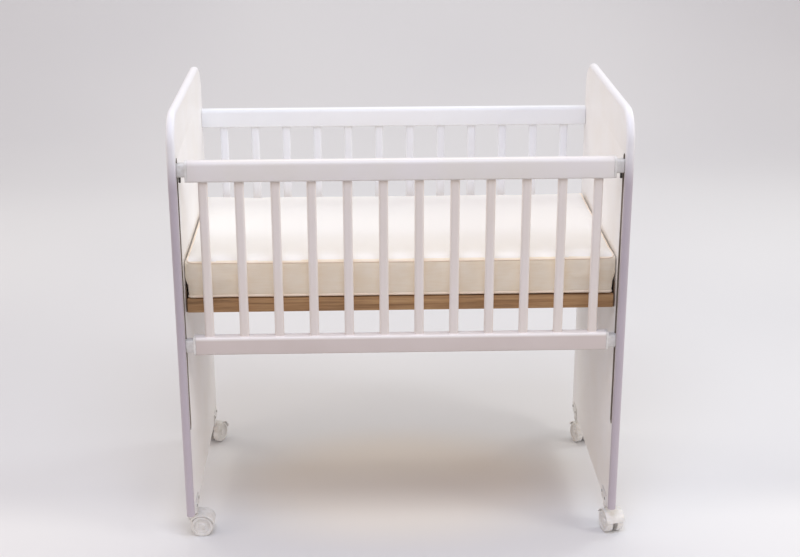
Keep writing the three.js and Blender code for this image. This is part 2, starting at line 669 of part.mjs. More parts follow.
function gate() {
  const topSlider = cut(
    slider(TOP_RAIL_HEIGHT, topRailBottom + TOP_RAIL_HEIGHT / 2 - topSliderMiddle, TOP_RAIL_RADIUS),
    latchRoom());
  const bottomSlider = slider(
    BOTTOM_RAIL_HEIGHT, BOTTOM_RAIL_HEIGHT / 2 - bottomSliderMiddle, RAIL_EDGE_RADIUS);
  const bolt = latchBolt();
  const spring = latchSpring();
  const fittings = ENDS.flatMap(({ end, turn }) => {
    const x = Math.cos(turn) * gateRailHalf;
    const atTop = { x, z: topSliderMiddle, turn };
    return [
      piece(`slider_top_${end}`, topSlider, WHITE_PLASTIC, atTop),
      piece(`slider_bottom_${end}`, bottomSlider, WHITE_PLASTIC, { x, z: bottomSliderMiddle, turn }),
      piece(`latch_bolt_${end}`, bolt, DARK_STEEL, atTop),
      piece(`latch_spring_${end}`, spring, ZINC_STEEL, atTop),
    ];
  });
  const frame = slattedSide('gate', gateRailHalf, spigotBores);
  return group([...frame, ...fittings], { y: gateY, z: gateBottom });
}

function back() {
  return group(slattedSide('back', backRailHalf, connectorBores), { y: backY, z: backBottom });
}

function backBolts() {
  const bolt = connectorBolt();
  const levels = ['bottom', 'top'];
  return group(backRailMiddles.flatMap((z, i) => ENDS.map(({ end, turn }) =>
    piece(`back_bolt_${levels[i]}_${end}`, bolt, ZINC_STEEL, { y: backY, z, turn }))));
}

// ---------------------------------------------------------------------------------------------
// Base and mattress
// ---------------------------------------------------------------------------------------------

/** Slatted base: two long rails, rebated along their inner upper edges to carry the slats, and
 *  two end rails between them. */
function slattedBase() {
  const [t, h] = [BASE_RAIL_THICKNESS, BASE_RAIL_HEIGHT];
  const outline = polygon([
    [0, 0], [t, 0], [t, h - BASE_SLAT_THICKNESS], [t - BASE_REBATE, h - BASE_SLAT_THICKNESS],
    [t - BASE_REBATE, h], [0, h],
  ]);
  const half = (bedBack - bedFront) / 2;
  const longRail = prismX(outline, -baseEnd, baseEnd).translate(0, -half, 0);

  const endHalf = half - t + BITE;
  const endRail = box([baseEnd - t, baseEnd], [-endHalf, endHalf], [0, h]);

  const slatHalf = half - t + BASE_REBATE - BASE_SLAT_END_GAP;
  const crossSlat = box(
    [-BASE_SLAT_WIDTH / 2, BASE_SLAT_WIDTH / 2], [-slatHalf, slatHalf],
    [h - BASE_SLAT_THICKNESS - BITE, h - BASE_SLAT_SINK]);
  const pitch = (2 * (baseEnd - t)) / BASE_SLAT_COUNT;
  const slats = Array.from({ length: BASE_SLAT_COUNT }, (_, i) =>
    crossSlat.clone().translate((i - (BASE_SLAT_COUNT - 1) / 2) * pitch, 0, 0));

  const frame = [longRail, longRail.clone().rotateZ(Math.PI), endRail, endRail.clone().rotateZ(Math.PI)];
  return piece('slatted_base', fuse([...frame, ...slats]), BASE_WOOD, { y: bedMiddle, z: baseBottom });
}

function mattress() {
  const length = 2 * (innerFace - MATTRESS_END_GAP);
  const corner = MATTRESS_CORNER_RADIUS;
  const outline = roundedRectangle(length, bedBack - bedFront, [corner, corner], 4);
  const body = new THREE.ExtrudeGeometry(outline, {
    depth: MATTRESS_THICKNESS - 2 * MATTRESS_EDGE_RADIUS,
    bevelThickness: MATTRESS_EDGE_RADIUS,
    bevelSize: MATTRESS_EDGE_RADIUS,
    bevelOffset: -MATTRESS_EDGE_RADIUS,
    bevelSegments: 2,
  });
  return piece('mattress', body, TICKING, {
    y: bedMiddle, z: baseTop + SEAT + MATTRESS_EDGE_RADIUS,
  });
}

/** Steel angle of the right end, with its screws: one leg up the panel, one under the base. */
function baseAngle() {
  const back = innerFace - SEAT;
  const front = back - ANGLE_THICKNESS;
  const shelf = baseBottom - SEAT;
  const foot = shelf - ANGLE_THICKNESS;
  const outline = polygon([
    [back, foot], [back, baseTop + ANGLE_RISE], [front, baseTop + ANGLE_RISE],
    [front, shelf], [front - ANGLE_REACH, shelf], [front - ANGLE_REACH, foot],
  ]);
  const angle = prismY(outline, bedMiddle - angleHalf, bedMiddle + angleHalf);
  return fuse([angle, ...angleScrewYs.map((y) => panHeadScrew().translate(front, y, angleScrewZ))]);
}

function baseAngles() {
  const right = baseAngle();
  return group([
    piece('base_angle_left', mirrored(right), DARK_STEEL),
    piece('base_angle_right', right, DARK_STEEL),
  ]);
}

// ---------------------------------------------------------------------------------------------
// Casters
// ---------------------------------------------------------------------------------------------

/** Angle plate for a caster at the right end, with its screws: under the panel and up its inner
 *  face. The stem passes through it at Y = 0. */
function casterPlate() {
  const back = innerFace - SEAT;
  const front = back - PLATE_THICKNESS;
  const under = GROUND_CLEARANCE - SEAT;
  const outer = outerFace - PLATE_SETBACK;
  const outline = polygon([
    [front, plateBottom], [outer, plateBottom], [outer, under], [back, under],
    [back, GROUND_CLEARANCE + PLATE_RISE], [front, GROUND_CLEARANCE + PLATE_RISE],
  ]);
  const plate = prismY(outline, -PLATE_WIDTH / 2, PLATE_WIDTH / 2);
  const stemHole = rod('z', STEM_RADIUS + STEM_CLEARANCE, plateBottom - OVERCUT, GROUND_CLEARANCE);
  const screws = [-1, 1].map((side) =>
    panHeadScrew().translate(front, (side * PLATE_SCREW_SPACING) / 2, plateScrewZ));
  return fuse([cut(plate, [stemHole.translate(panelMiddle, 0, 0)]), ...screws]);
}

/** Swivelling part of a caster: stem, neck, web and hood. The stem is on the Z axis and the
 *  wheels trail towards +X. */
function casterBody() {
  const stem = rod('z', STEM_RADIUS, neckTop - BITE, stemTop, 10);
  const neck = rod('z', NECK_RADIUS, neckBottom, neckTop, 16);

  const around = (radius, from, to, steps) => arc(CASTER_TRAIL, WHEEL_RADIUS, radius, from, to, steps);
  const hoodHalf = wheelOutside + HOOD_GAP;
  const hood = prismY(
    polygon([...around(hoodOutside, HOOD_FROM, HOOD_TO, 9), ...around(hoodInside, HOOD_TO, HOOD_FROM, 9)]),
    -hoodHalf, hoodHalf);

  const web = prismY(polygon([
    [-NECK_RADIUS, neckBottom + NECK_ROOT], [-NECK_RADIUS, WHEEL_RADIUS + BOSS_RADIUS],
    ...around(BOSS_RADIUS, -135, 0, 5), ...around(hoodInside + BITE, HOOD_FROM, 90, 4),
    [0, neckBottom + NECK_ROOT],
  ]), -WEB_THICKNESS / 2, WEB_THICKNESS / 2);

  const axleBore = rod('y', AXLE_RADIUS + AXLE_CLEARANCE, -WEB_THICKNESS, WEB_THICKNESS);
  return cut(fuse([stem, neck, hood, web]), [axleBore.translate(CASTER_TRAIL, 0, WHEEL_RADIUS)]);
}

/** Two dished wheels on their axle, turned round the Y axis. */
function casterWheels() {
  const half = [
    [AXLE_RADIUS, wheelInside],
    [WHEEL_RADIUS, wheelInside],
    [WHEEL_RADIUS, wheelOutside - TREAD_CHAMFER],
    [WHEEL_RADIUS - TREAD_CHAMFER, wheelOutside],
    [WHEEL_RADIUS - WHEEL_RIM, wheelOutside - WHEEL_DISH],
    [HUB_RADIUS, wheelOutside - WHEEL_DISH],
    [HUB_RADIUS, wheelOutside - HUB_SETBACK],
    [0, wheelOutside - HUB_SETBACK],
  ];
  const otherHalf = half.map(([radius, y]) => [radius, -y]).reverse();
  return lathe([...otherHalf, ...half], 20);
}

function casters() {
  const body = casterBody();
  const wheels = casterWheels();
  const plate = casterPlate();
  return Object.entries(CASTER_SWIVELS).flatMap(([corner, degrees]) => {
    const [row, end] = corner.split('_');
    const y = row === 'front' ? -casterY : casterY;
    const caster = group([
      piece(`caster_body_${corner}`, body, TRANSLUCENT_PLASTIC),
      piece(`caster_wheels_${corner}`, wheels, TRANSLUCENT_PLASTIC, { x: CASTER_TRAIL, z: WHEEL_RADIUS }),
    ], { x: end === 'left' ? -panelMiddle : panelMiddle, y, turn: radians(degrees) });
    const turn = end === 'left' ? Math.PI : 0;
    return [caster, piece(`caster_plate_${corner}`, plate, ZINC_STEEL, { y, turn })];
  });
}

// ---------------------------------------------------------------------------------------------
// The crib
// ---------------------------------------------------------------------------------------------

export default group([
  endPanels(), back(), backBolts(), gate(), keepers(), slattedBase(), baseAngles(), mattress(),
  ...casters(),
]);
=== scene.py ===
"""Looks of a white baby crib on casters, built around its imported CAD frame.

Every length is in metres, in the row frame: +Z up, +X along the crib, the drop gate faces -Y.
"""
import logging
import math
from collections.abc import Iterable, Sequence
from dataclasses import dataclass
from enum import Enum
from functools import cache

import bmesh
import bpy
import numpy as np
from mathutils import Matrix, Vector
from mathutils.bvhtree import BVHTree
from mathutils.geometry import tessellate_polygon


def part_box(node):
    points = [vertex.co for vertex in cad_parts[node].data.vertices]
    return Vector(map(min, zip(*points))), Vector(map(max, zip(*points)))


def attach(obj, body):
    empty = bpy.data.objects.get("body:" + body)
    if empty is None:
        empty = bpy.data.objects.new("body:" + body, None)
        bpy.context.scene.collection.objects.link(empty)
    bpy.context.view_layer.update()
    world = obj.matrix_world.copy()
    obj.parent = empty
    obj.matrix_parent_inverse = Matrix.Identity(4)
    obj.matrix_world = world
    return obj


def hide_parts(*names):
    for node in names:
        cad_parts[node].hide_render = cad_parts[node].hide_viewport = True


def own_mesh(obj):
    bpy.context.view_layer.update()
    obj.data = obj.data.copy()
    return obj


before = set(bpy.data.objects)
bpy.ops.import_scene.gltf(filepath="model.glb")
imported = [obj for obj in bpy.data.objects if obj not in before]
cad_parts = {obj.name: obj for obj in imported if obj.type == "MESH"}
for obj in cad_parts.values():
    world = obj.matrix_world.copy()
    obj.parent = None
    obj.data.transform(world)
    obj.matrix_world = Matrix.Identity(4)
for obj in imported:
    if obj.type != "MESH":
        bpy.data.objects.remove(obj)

log = logging.getLogger("crib")

MM = 0.001  # metres
WELD = 0.001 * MM  # corners nearer than this are one
CAD_WELD = 0.002 * MM  # the same for the CAD nodes' loose triangles
SHARP = 32.0  # degrees past which an edge is drawn sharp
ALL_SMOOTH = 180.0  # the same, where no edge is sharp
TIGHTEST = 0.1 * MM  # least radius of a corner that is drawn in

Outline = list[tuple[float, float]]
Ring = list[Vector]


class Axis(Enum):
    """Direction of a bar, a grain or a lathe."""

    X = 0
    Y = 1
    Z = 2


class End(Enum):
    """The two ends of the crib, with the sign of their X."""

    LEFT = -1
    RIGHT = 1

    @property
    def word(self) -> str:
        """The end's name as the CAD nodes spell it."""
        return self.name.lower()


class Corner(Enum):
    """The four casters: row, end, and how far each is swivelled, in degrees."""

    FRONT_LEFT = ("front", End.LEFT, 0.0)
    FRONT_RIGHT = ("front", End.RIGHT, -75.0)
    BACK_LEFT = ("back", End.LEFT, 65.0)
    BACK_RIGHT = ("back", End.RIGHT, -75.0)

    def __init__(self, row: str, end: End, swivel: float) -> None:
        """Names the three parts of the value."""
        self.row, self.end, self.swivel = row, end, swivel

    @property
    def word(self) -> str:
        """The corner's name as the CAD nodes spell it."""
        return f"{self.row}_{self.end.word}"


class Ends(Enum):
    """What a loft does at its first and last ring."""

    OPEN = "left open"
    CAPPED = "each closed by a flat face"
    JOINED = "joined to each other"


# --------------------------------------------------------------------------------------------
# Colours and shader nodes
# --------------------------------------------------------------------------------------------


def linear(hex_colour: str) -> tuple[float, float, float, float]:
    """Turns an sRGB hex colour to linear RGBA.

    Args:
        hex_colour: six hex digits after a hash.

    Returns:
        Red, green, blue and an alpha of 1.
    """
    parts = [int(hex_colour[i:i + 2], 16) / 255 for i in (1, 3, 5)]
    low = [c / 12.92 if c <= 0.04045 else ((c + 0.055) / 1.055) ** 2.4 for c in parts]
    return (low[0], low[1], low[2], 1.0)


def add_node(tree: bpy.types.NodeTree, kind: str, settings: dict | None = None,
             links: dict | None = None) -> bpy.types.Node:
    """Adds a node to a tree with its settings and links.

    Args:
        tree: the shader or geometry tree.
        kind: Blender's identifier of the node.
        settings: attributes of the node, or default values of its inputs by name or number.
        links: sockets to link into its inputs, by name or number.

    Returns:
        The new node.
    """
    node = tree.nodes.new(kind)
    for key, value in (settings or {}).items():
        if isinstance(key, str) and hasattr(node, key):
            setattr(node, key, value)
        else:
            node.inputs[key].default_value = value
    for key, source in (links or {}).items():
        tree.links.new(source, node.inputs[key])
    return node


def ramp(tree: bpy.types.NodeTree, factor: bpy.types.NodeSocket,
         stops: Sequence[tuple[float, str]]) -> bpy.types.NodeSocket:
    """Maps a factor to colours.

    Args:
        tree: the shader tree.
        factor: socket that drives the ramp.
        stops: positions with their hex colours, in rising order.

    Returns:
        The ramp's colour socket.
    """
    node = add_node(tree, "ShaderNodeValToRGB", links={"Fac": factor})
    elements = node.color_ramp.elements
    while len(elements) < len(stops):
        elements.new(0.5)
    for element, (position, colour) in zip(elements, stops):
        element.position = position
        element.color = linear(colour)
    return node.outputs["Color"]


def blend_value(tree: bpy.types.NodeTree, factor: bpy.types.NodeSocket, low: float,
                high: float) -> bpy.types.NodeSocket:
    """Maps a factor from 0 to 1 onto a range.

    Args:
        tree: the shader tree.
        factor: socket to map.
        low: value at 0.
        high: value at 1.

    Returns:
        The mapped socket.
    """
    node = add_node(tree, "ShaderNodeMapRange", {"To Min": low, "To Max": high},
                    {"Value": factor})
    return node.outputs["Result"]


def seen_ray(tree: bpy.types.NodeTree) -> bpy.types.NodeSocket:
    """Tells the rays that show a surface from those that only gather its light.

    Args:
        tree: the shader tree of the floor or the world.

    Returns:
        A socket that is 1 for a direct, mirrored or refracted ray, else 0.
    """
    path = add_node(tree, "ShaderNodeLightPath").outputs
    mirrored = add_node(tree, "ShaderNodeMath", {"operation": "MAXIMUM"}, {
        0: path["Is Glossy Ray"], 1: path["Is Transmission Ray"]})
    return add_node(tree, "ShaderNodeMath", {"operation": "MAXIMUM"}, {
        0: path["Is Camera Ray"], 1: mirrored.outputs[0]}).outputs[0]


def noise(tree: bpy.types.NodeTree, place: bpy.types.NodeSocket, size: float,
          stretch: Sequence[float] = (1, 1, 1), detail: float = 2.0) -> bpy.types.NodeSocket:
    """Noise with features of a real size.

    Args:
        tree: the shader tree.
        place: coordinates in metres.
        size: size of a feature in metres.
        stretch: how many times longer the features are along X, Y and Z.
        detail: octaves.

    Returns:
        The noise factor socket.
    """
    scale = tuple(1 / (size * s) for s in stretch)
    mapping = add_node(tree, "ShaderNodeMapping", {"Scale": scale}, {"Vector": place})
    node = add_node(tree, "ShaderNodeTexNoise", {"Scale": 1.0, "Detail": detail},
                    {"Vector": mapping.outputs["Vector"]})
    return node.outputs["Fac"]


@dataclass(frozen=True)
class Finish:
    """A finish: its name and plain shader values. Subclasses add what varies over the surface."""

    name: str
    colour: str = "#FFFFFF"
    roughness: float = 0.5
    metallic: float = 0.0
    ior: float = 1.5

    def material(self) -> bpy.types.Material:
        """Gives this finish's material, made on first use.

        Returns:
            The shared material.
        """
        known = bpy.data.materials.get(self.name)
        if known:
            return known
        made = bpy.data.materials.new(self.name)
        made.use_nodes = True
        tree = made.node_tree
        bsdf = tree.nodes["Principled BSDF"]
        bsdf.inputs["Base Color"].default_value = linear(self.colour)
        bsdf.inputs["Roughness"].default_value = self.roughness
        bsdf.inputs["Metallic"].default_value = self.metallic
        if not self.metallic:
            bsdf.inputs["IOR"].default_value = self.ior
        place = add_node(tree, "ShaderNodeTexCoord").outputs["Object"]
        self.surface(tree, bsdf, place)
        return made

    def surface(self, tree: bpy.types.NodeTree, bsdf: bpy.types.Node,
                place: bpy.types.NodeSocket) -> None:
        """Adds what varies over the surface.

        Args:
            tree: the material's tree.
            bsdf: its principled shader.
            place: object coordinates in metres.
        """
        raise NotImplementedError

    def bump(self, tree: bpy.types.NodeTree, bsdf: bpy.types.Node, height: bpy.types.NodeSocket,
             depth: float) -> None:
        """Adds relief.

        Args:
            tree: the material's tree.
            bsdf: its principled shader.
            height: factor from 0 to 1.
            depth: height of the relief in metres.
        """
        node = add_node(tree, "ShaderNodeBump", {"Strength": 1.0, "Distance": depth},
                        {"Height": height})
        tree.links.new(node.outputs["Normal"], bsdf.inputs["Normal"])


@dataclass(frozen=True)
class SatinLacquer(Finish):
    """Sprayed two-pack lacquer: a soft sheen, faint orange peel, and grain that telegraphs
    through it on solid wood. A little warmth gathers in broad patches."""

    warm: str = "#ECE7E0"
    warm_patch: float = 160 * MM
    sheen_patch: float = 30 * MM
    sheen_spread: float = 0.06
    grain: tuple[float, float, float] = (1, 1, 1)
    grain_width: float = 1.6 * MM
    relief: float = 0.035 * MM

    def surface(self, tree: bpy.types.NodeTree, bsdf: bpy.types.Node,
                place: bpy.types.NodeSocket) -> None:
        """Adds broad warmth, uneven sheen and the relief of the sprayed coat.

        Args:
            tree: the material's tree.
            bsdf: its principled shader.
            place: object coordinates in metres.
        """
        patches = noise(tree, place, self.warm_patch, detail=3)
        tree.links.new(ramp(tree, patches, [(0.38, self.colour), (0.72, self.warm)]),
                       bsdf.inputs["Base Color"])
        sheen = blend_value(tree, noise(tree, place, self.sheen_patch),
                            self.roughness - self.sheen_spread,
                            self.roughness + self.sheen_spread)
        tree.links.new(sheen, bsdf.inputs["Roughness"])
        self.bump(tree, bsdf, noise(tree, place, self.grain_width, self.grain, 3), self.relief)


@dataclass(frozen=True)
class FadedLacquer(SatinLacquer):
    """Satin coat that is white at the top and greyer lower down: painted light on the rounds that
    face up to the lamps, and painted shade on the faces below.
    """

    clean: str = "#F1EFF1"
    grey_below: float = 820 * MM
    clean_above: float = 910 * MM

    def surface(self, tree: bpy.types.NodeTree, bsdf: bpy.types.Node,
                place: bpy.types.NodeSocket) -> None:
        """Adds the coat, then whitens it with height: painted shade below, painted light above.

        Args:
            tree: the material's tree.
            bsdf: its principled shader.
            place: object coordinates in metres.
        """
        super().surface(tree, bsdf, place)
        # The coat below is painted shade; the white it turns to with height is painted light.
        shaded_coat = bsdf.inputs["Base Color"].links[0].from_socket
        split = add_node(tree, "ShaderNodeSeparateXYZ", links={"Vector": place})
        height = add_node(tree, "ShaderNodeMapRange", {
            "interpolation_type": "SMOOTHSTEP", "From Min": self.grey_below,
            "From Max": self.clean_above}, {"Value": split.outputs["Z"]})
        both = add_node(tree, "ShaderNodeMix", {"data_type": "RGBA", 7: linear(self.clean)},
                        {0: height.outputs["Result"], 6: shaded_coat})
        tree.links.new(both.outputs[2], bsdf.inputs["Base Color"])


@dataclass(frozen=True)
class BareWood(Finish):
    """Brown softwood, planed and left bare: long darker bands of late wood, fine pores along
    the grain, and no gloss."""

    dark: str = "#80603F"
    light: str = "#C19C70"
    along: Axis = Axis.X
    band: float = 7 * MM
    pore: float = 0.8 * MM
    stretch: float = 30.0
    dull: float = 0.72
    relief: float = 0.12 * MM

    def surface(self, tree: bpy.types.NodeTree, bsdf: bpy.types.Node,
                place: bpy.types.NodeSocket) -> None:
        """Adds bands of late wood, pores and the relief of both.

        Args:
            tree: the material's tree.
            bsdf: its principled shader.
            place: object coordinates in metres.
        """
        long = tuple(self.stretch if axis is self.along else 1.0 for axis in Axis)
        bands = noise(tree, place, self.band, long, 4)
        pores = noise(tree, place, self.pore, long, 2)
        both = add_node(tree, "ShaderNodeMath", {"operation": "MULTIPLY_ADD", 1: 0.35},
                        {0: pores, 2: bands}).outputs[0]
        colour = ramp(tree, both, [(0.48, self.dark), (0.68, self.colour), (0.9, self.light)])
        tree.links.new(colour, bsdf.inputs["Base Color"])
        tree.links.new(blend_value(tree, bands, self.roughness, self.dull),
                       bsdf.inputs["Roughness"])
        self.bump(tree, bsdf, both, self.relief)


@dataclass(frozen=True)
class Moulded(Finish):
    """Injection-moulded nylon: even colour with a fine spark-eroded grain."""

    glow: float = 0.0
    glow_depth: tuple[float, float, float] = (4 * MM, 3.5 * MM, 3 * MM)
    grit: float = 0.5 * MM
    flow: float = 9 * MM
    flow_colour: str = "#D9D6D0"
    relief: float = 0.02 * MM

    def surface(self, tree: bpy.types.NodeTree, bsdf: bpy.types.Node,
                place: bpy.types.NodeSocket) -> None:
        """Adds the grain of the mould, flow marks, and light that scatters inside.

        Args:
            tree: the material's tree.
            bsdf: its principled shader.
            place: object coordinates in metres.
        """
        bsdf.inputs["Subsurface Weight"].default_value = self.glow
        bsdf.inputs["Subsurface Radius"].default_value = self.glow_depth
        grain = noise(tree, place, self.grit)
        flow = noise(tree, place, self.flow)
        tree.links.new(ramp(tree, flow, [(0.3, self.colour), (0.8, self.flow_colour)]),
                       bsdf.inputs["Base Color"])
        tree.links.new(blend_value(tree, grain, self.roughness - 0.05, self.roughness + 0.08),
                       bsdf.inputs["Roughness"])
        self.bump(tree, bsdf, grain, self.relief)


@dataclass(frozen=True)
class Steel(Finish):
    """Steel sheet or wire with a coat: mottled zinc, black oxide that is worn grey, or the base
    angles' strip, drawn pale brown as a painted light."""

    worn: str = "#8C8A86"
    mottle: float = 2.5 * MM
    grit: float = 0.6 * MM
    relief: float = 0.02 * MM

    def surface(self, tree: bpy.types.NodeTree, bsdf: bpy.types.Node,
                place: bpy.types.NodeSocket) -> None:
        """Adds mottling, patchy sheen and a fine roughness.

        Args:
            tree: the material's tree.
            bsdf: its principled shader.
            place: object coordinates in metres.
        """
        patches = noise(tree, place, self.mottle, detail=4)
        tree.links.new(ramp(tree, patches, [(0.42, self.colour), (0.78, self.worn)]),
                       bsdf.inputs["Base Color"])
        tree.links.new(blend_value(tree, patches, self.roughness - 0.08, self.roughness + 0.12),
                       bsdf.inputs["Roughness"])
        self.bump(tree, bsdf, noise(tree, place, self.grit), self.relief)


@dataclass(frozen=True)
class Cloth(Finish):
    """Woven cotton: threads over and under each other, a little slub and a soft sheen."""

    shade: str = "#E6DFD2"
    thread: float = 1.6 * MM
    slub: float = 4 * MM
    slub_stretch: float = 8.0
    tone_patch: float = 60 * MM
    sheen: float = 0.25
    depth: float = 0.22 * MM
    waves_in_metre: float = 3.2  # what a wave texture of scale 1 draws

    def surface(self, tree: bpy.types.NodeTree, bsdf: bpy.types.Node,
                place: bpy.types.NodeSocket) -> None:
        """Adds a plain weave and slubs about 30 mm long. A thread is drawn more than 1 mm wide,
        because real ones of 0.3 mm are too fine to show.

        Args:
            tree: the material's tree.
            bsdf: its principled shader.
            place: object coordinates in metres.
        """
        bsdf.inputs["Sheen Weight"].default_value = self.sheen
        bsdf.inputs["Sheen Roughness"].default_value = 0.5
        waves = []
        for axis in ("X", "Y", "Z"):
            waves.append(add_node(tree, "ShaderNodeTexWave", {
                "bands_direction": axis, "Scale": 1 / self.thread / self.waves_in_metre,
                "Distortion": 0.6, "Detail": 1.0}, {"Vector": place}).outputs["Fac"])
        crossed = add_node(tree, "ShaderNodeMath", {"operation": "MULTIPLY"},
                           {0: waves[0], 1: waves[1]}).outputs[0]
        weave = add_node(tree, "ShaderNodeMath", {"operation": "MAXIMUM"},
                         {0: crossed, 1: waves[2]}).outputs[0]
        slub = noise(tree, place, self.slub, (self.slub_stretch, 1, 1), 3)
        tone = noise(tree, place, self.tone_patch)
        mixed = add_node(tree, "ShaderNodeMath", {"operation": "MULTIPLY_ADD", 1: 0.4},
                         {0: slub, 2: tone}).outputs[0]
        tree.links.new(ramp(tree, mixed, [(0.5, self.colour), (0.95, self.shade)]),
                       bsdf.inputs["Base Color"])
        relief = add_node(tree, "ShaderNodeMath", {"operation": "MULTIPLY_ADD", 1: 0.5},
                          {0: slub, 2: weave}).outputs[0]
        self.bump(tree, bsdf, relief, self.depth)


@dataclass(frozen=True)
class Paper(Finish):
    """Seamless studio paper: matt, with a barely uneven tone. It is drawn whiter in front of the
    crib, a painted light where the crib's shadow should fade, and warmer where the crib stands, a
    painted warm shadow. Further forward it throws less light back at the crib, as the darker floor
    of a studio does, and looks just as pale."""

    uneven: float = 1.4
    uneven_colour: str = "#D6D6D9"
    gloss: float = 0.15
    fresh: str = "#E6E6E7"
    fresh_from: float = 0.0
    fresh_to: float = -0.22
    yellowed: str = "#DED6CE"
    yellowed_fresh: str = "#FAF5EC"
    stand: tuple[float, float] = (0.0, -0.01)
    stand_reach: tuple[float, float] = (0.56, 0.36)
    stand_core: float = 0.4  # share of the reach that is fully in the painted warm shadow
    bare_floor: str = "#4A4643"
    paper_edge: float = -1.15

    def surface(self, tree: bpy.types.NodeTree, bsdf: bpy.types.Node,
                place: bpy.types.NodeSocket) -> None:
        """Adds slow waves of tone, the painted light in front of the crib, the painted warm shadow
        under it and the bare floor.

        Args:
            tree: the material's tree.
            bsdf: its principled shader.
            place: object coordinates in metres.
        """
        bsdf.inputs["Specular IOR Level"].default_value = self.gloss
        tone = noise(tree, place, self.uneven, detail=1)
        used = ramp(tree, tone, [(0.3, self.colour), (0.7, self.uneven_colour)])
        split = add_node(tree, "ShaderNodeSeparateXYZ", links={"Vector": place})
        # Painted light: whiter paper in front of the crib.
        front = add_node(tree, "ShaderNodeMapRange", {
            "interpolation_type": "SMOOTHSTEP", "From Min": self.fresh_from,
            "From Max": self.fresh_to}, {"Value": split.outputs["Y"]})
        paper = add_node(tree, "ShaderNodeMix", {"data_type": "RGBA", 7: linear(self.fresh)},
                         {0: front.outputs["Result"], 6: used}).outputs[2]
        wide, deep = (1 / reach for reach in self.stand_reach)
        # Painted warm shadow: warmer paper round where the crib stands, its colour kept in old.
        spot = add_node(tree, "ShaderNodeMapping", {
            "Scale": (wide, deep, 0),
            "Location": (-self.stand[0] * wide, -self.stand[1] * deep, 0)}, {"Vector": place})
        away = add_node(tree, "ShaderNodeVectorMath", {"operation": "LENGTH"},
                        {0: spot.outputs["Vector"]})
        in_warm_shadow = add_node(tree, "ShaderNodeMapRange", {
            "interpolation_type": "SMOOTHSTEP", "From Min": 1.0, "From Max": self.stand_core},
            {"Value": away.outputs["Value"]})
        old = add_node(tree, "ShaderNodeMix", {
            "data_type": "RGBA", 6: linear(self.yellowed), 7: linear(self.yellowed_fresh)},
            {0: front.outputs["Result"]}).outputs[2]
        paper = add_node(tree, "ShaderNodeMix", {"data_type": "RGBA"},
                         {0: in_warm_shadow.outputs["Result"], 6: paper, 7: old}).outputs[2]
        edge = add_node(tree, "ShaderNodeMath", {"operation": "GREATER_THAN", 1: self.paper_edge},
                        {0: split.outputs["Y"]})
        pale = add_node(tree, "ShaderNodeMath", {"operation": "MAXIMUM"},
                        {0: edge.outputs[0], 1: seen_ray(tree)})
        both = add_node(tree, "ShaderNodeMix", {
            "data_type": "RGBA", 6: linear(self.bare_floor)}, {0: pale.outputs[0], 7: paper})
        tree.links.new(both.outputs[2], bsdf.inputs["Base Color"])


GRAIN_ALONG_X = (60, 1, 1)
GRAIN_ALONG_Z = (1, 1, 60)

# White two-pack lacquer over board: bright, smooth and even, with a soft sheen.
BOARD_LACQUER = SatinLacquer("satin_lacquer_on_board", "#F5F3F2", 0.38, warm="#F1EDE9")
# The same over solid wood, whose long grain shows faintly in the sheen. Each side's tint is
# painted light: the gate's rails are a little pink and its slats warmer, for the warm light on the
# front, and the back's are cooler.
RAIL_LACQUER = SatinLacquer("satin_lacquer_on_rails", "#EEE9E8", 0.36, grain=GRAIN_ALONG_X)
BACK_RAIL_LACQUER = SatinLacquer("satin_lacquer_on_back_rail", "#EFF0F2", 0.36, warm="#EDEDEE",
                                 grain=GRAIN_ALONG_X)
GATE_SLAT_LACQUER = SatinLacquer("satin_lacquer_on_gate_slats", "#ECE4E0", 0.36, warm="#EAE0D8",
                                 grain=GRAIN_ALONG_Z)
BACK_SLAT_LACQUER = SatinLacquer("satin_lacquer_on_back_slats", "#ECEDF1", 0.36, warm="#EAEAEC",
                                 grain=GRAIN_ALONG_Z)
# Edge band, glued on and rounded over: greyer and a little lilac beside the lacquer, which is
# painted shade of the edge that faces forward; near the top it fades to white, a painted light.
EDGE_BAND_SHADED = FadedLacquer("pvc_edge_band", "#C1B7C0", 0.4, warm="#BAB0B8", relief=0.015 * MM)
# Routed board in the groove: dull and fibrous, in a dark grey-brown that is painted shade for the
# groove's shadowed inside.
GROOVE_PAINTED_SHADE = BareWood("raw_board_core", "#8F8378", dark="#6B6056", light="#A99D91", along=Axis.Z)
# Planed softwood without a coat: brown late wood in long bands, and no gloss.
LONG_WOOD = BareWood("bare_softwood_along", "#AA8259", along=Axis.X)
CROSS_WOOD = BareWood("bare_softwood_across", "#A07B4C", along=Axis.Y)
# Moulded nylon: the sliders are opaque white, the casters milky, so light gathers in them.
WHITE_NYLON = Moulded("moulded_white_nylon", "#EDEBE8", 0.36)
MILKY_NYLON = Moulded("moulded_milky_nylon", "#E8E6E4", 0.3, glow=0.25)
# Blackened steel: nearly black, with grey wear and a dim metal sheen.
BLACK_STEEL = Steel("black_oxide_steel", "#3B3836", 0.5, 0.75, worn="#6E6862")
# Steel strip of the base angles, in a dull pale brown more like paint than metal: a painted light,
# so that it shows in the dark gap beside the mattress.
ANGLE_STEEL_PAINTED_LIGHT = Steel("browned_steel_strip", "#7E6A58", 0.55, 0.35, worn="#97826C")
# Bright zinc on sheet: nearly white and blurred, so that it hardly shows against the board.
BRIGHT_ZINC = Steel("bright_zinc_sheet", "#ECEAE8", 0.5, 0.3, worn="#DDDAD6")
# Plain zinc plating: grey metal with a mottled, middling sheen.
ZINC_STEEL = Steel("zinc_plated_steel", "#B4B2AE", 0.38, 1.0, worn="#8F8E8A")
# Woven cotton ticking on both faces: matt off-white.
TICKING = Cloth("mattress_ticking", "#F6F5F4", 0.85, shade="#EEEAE5")
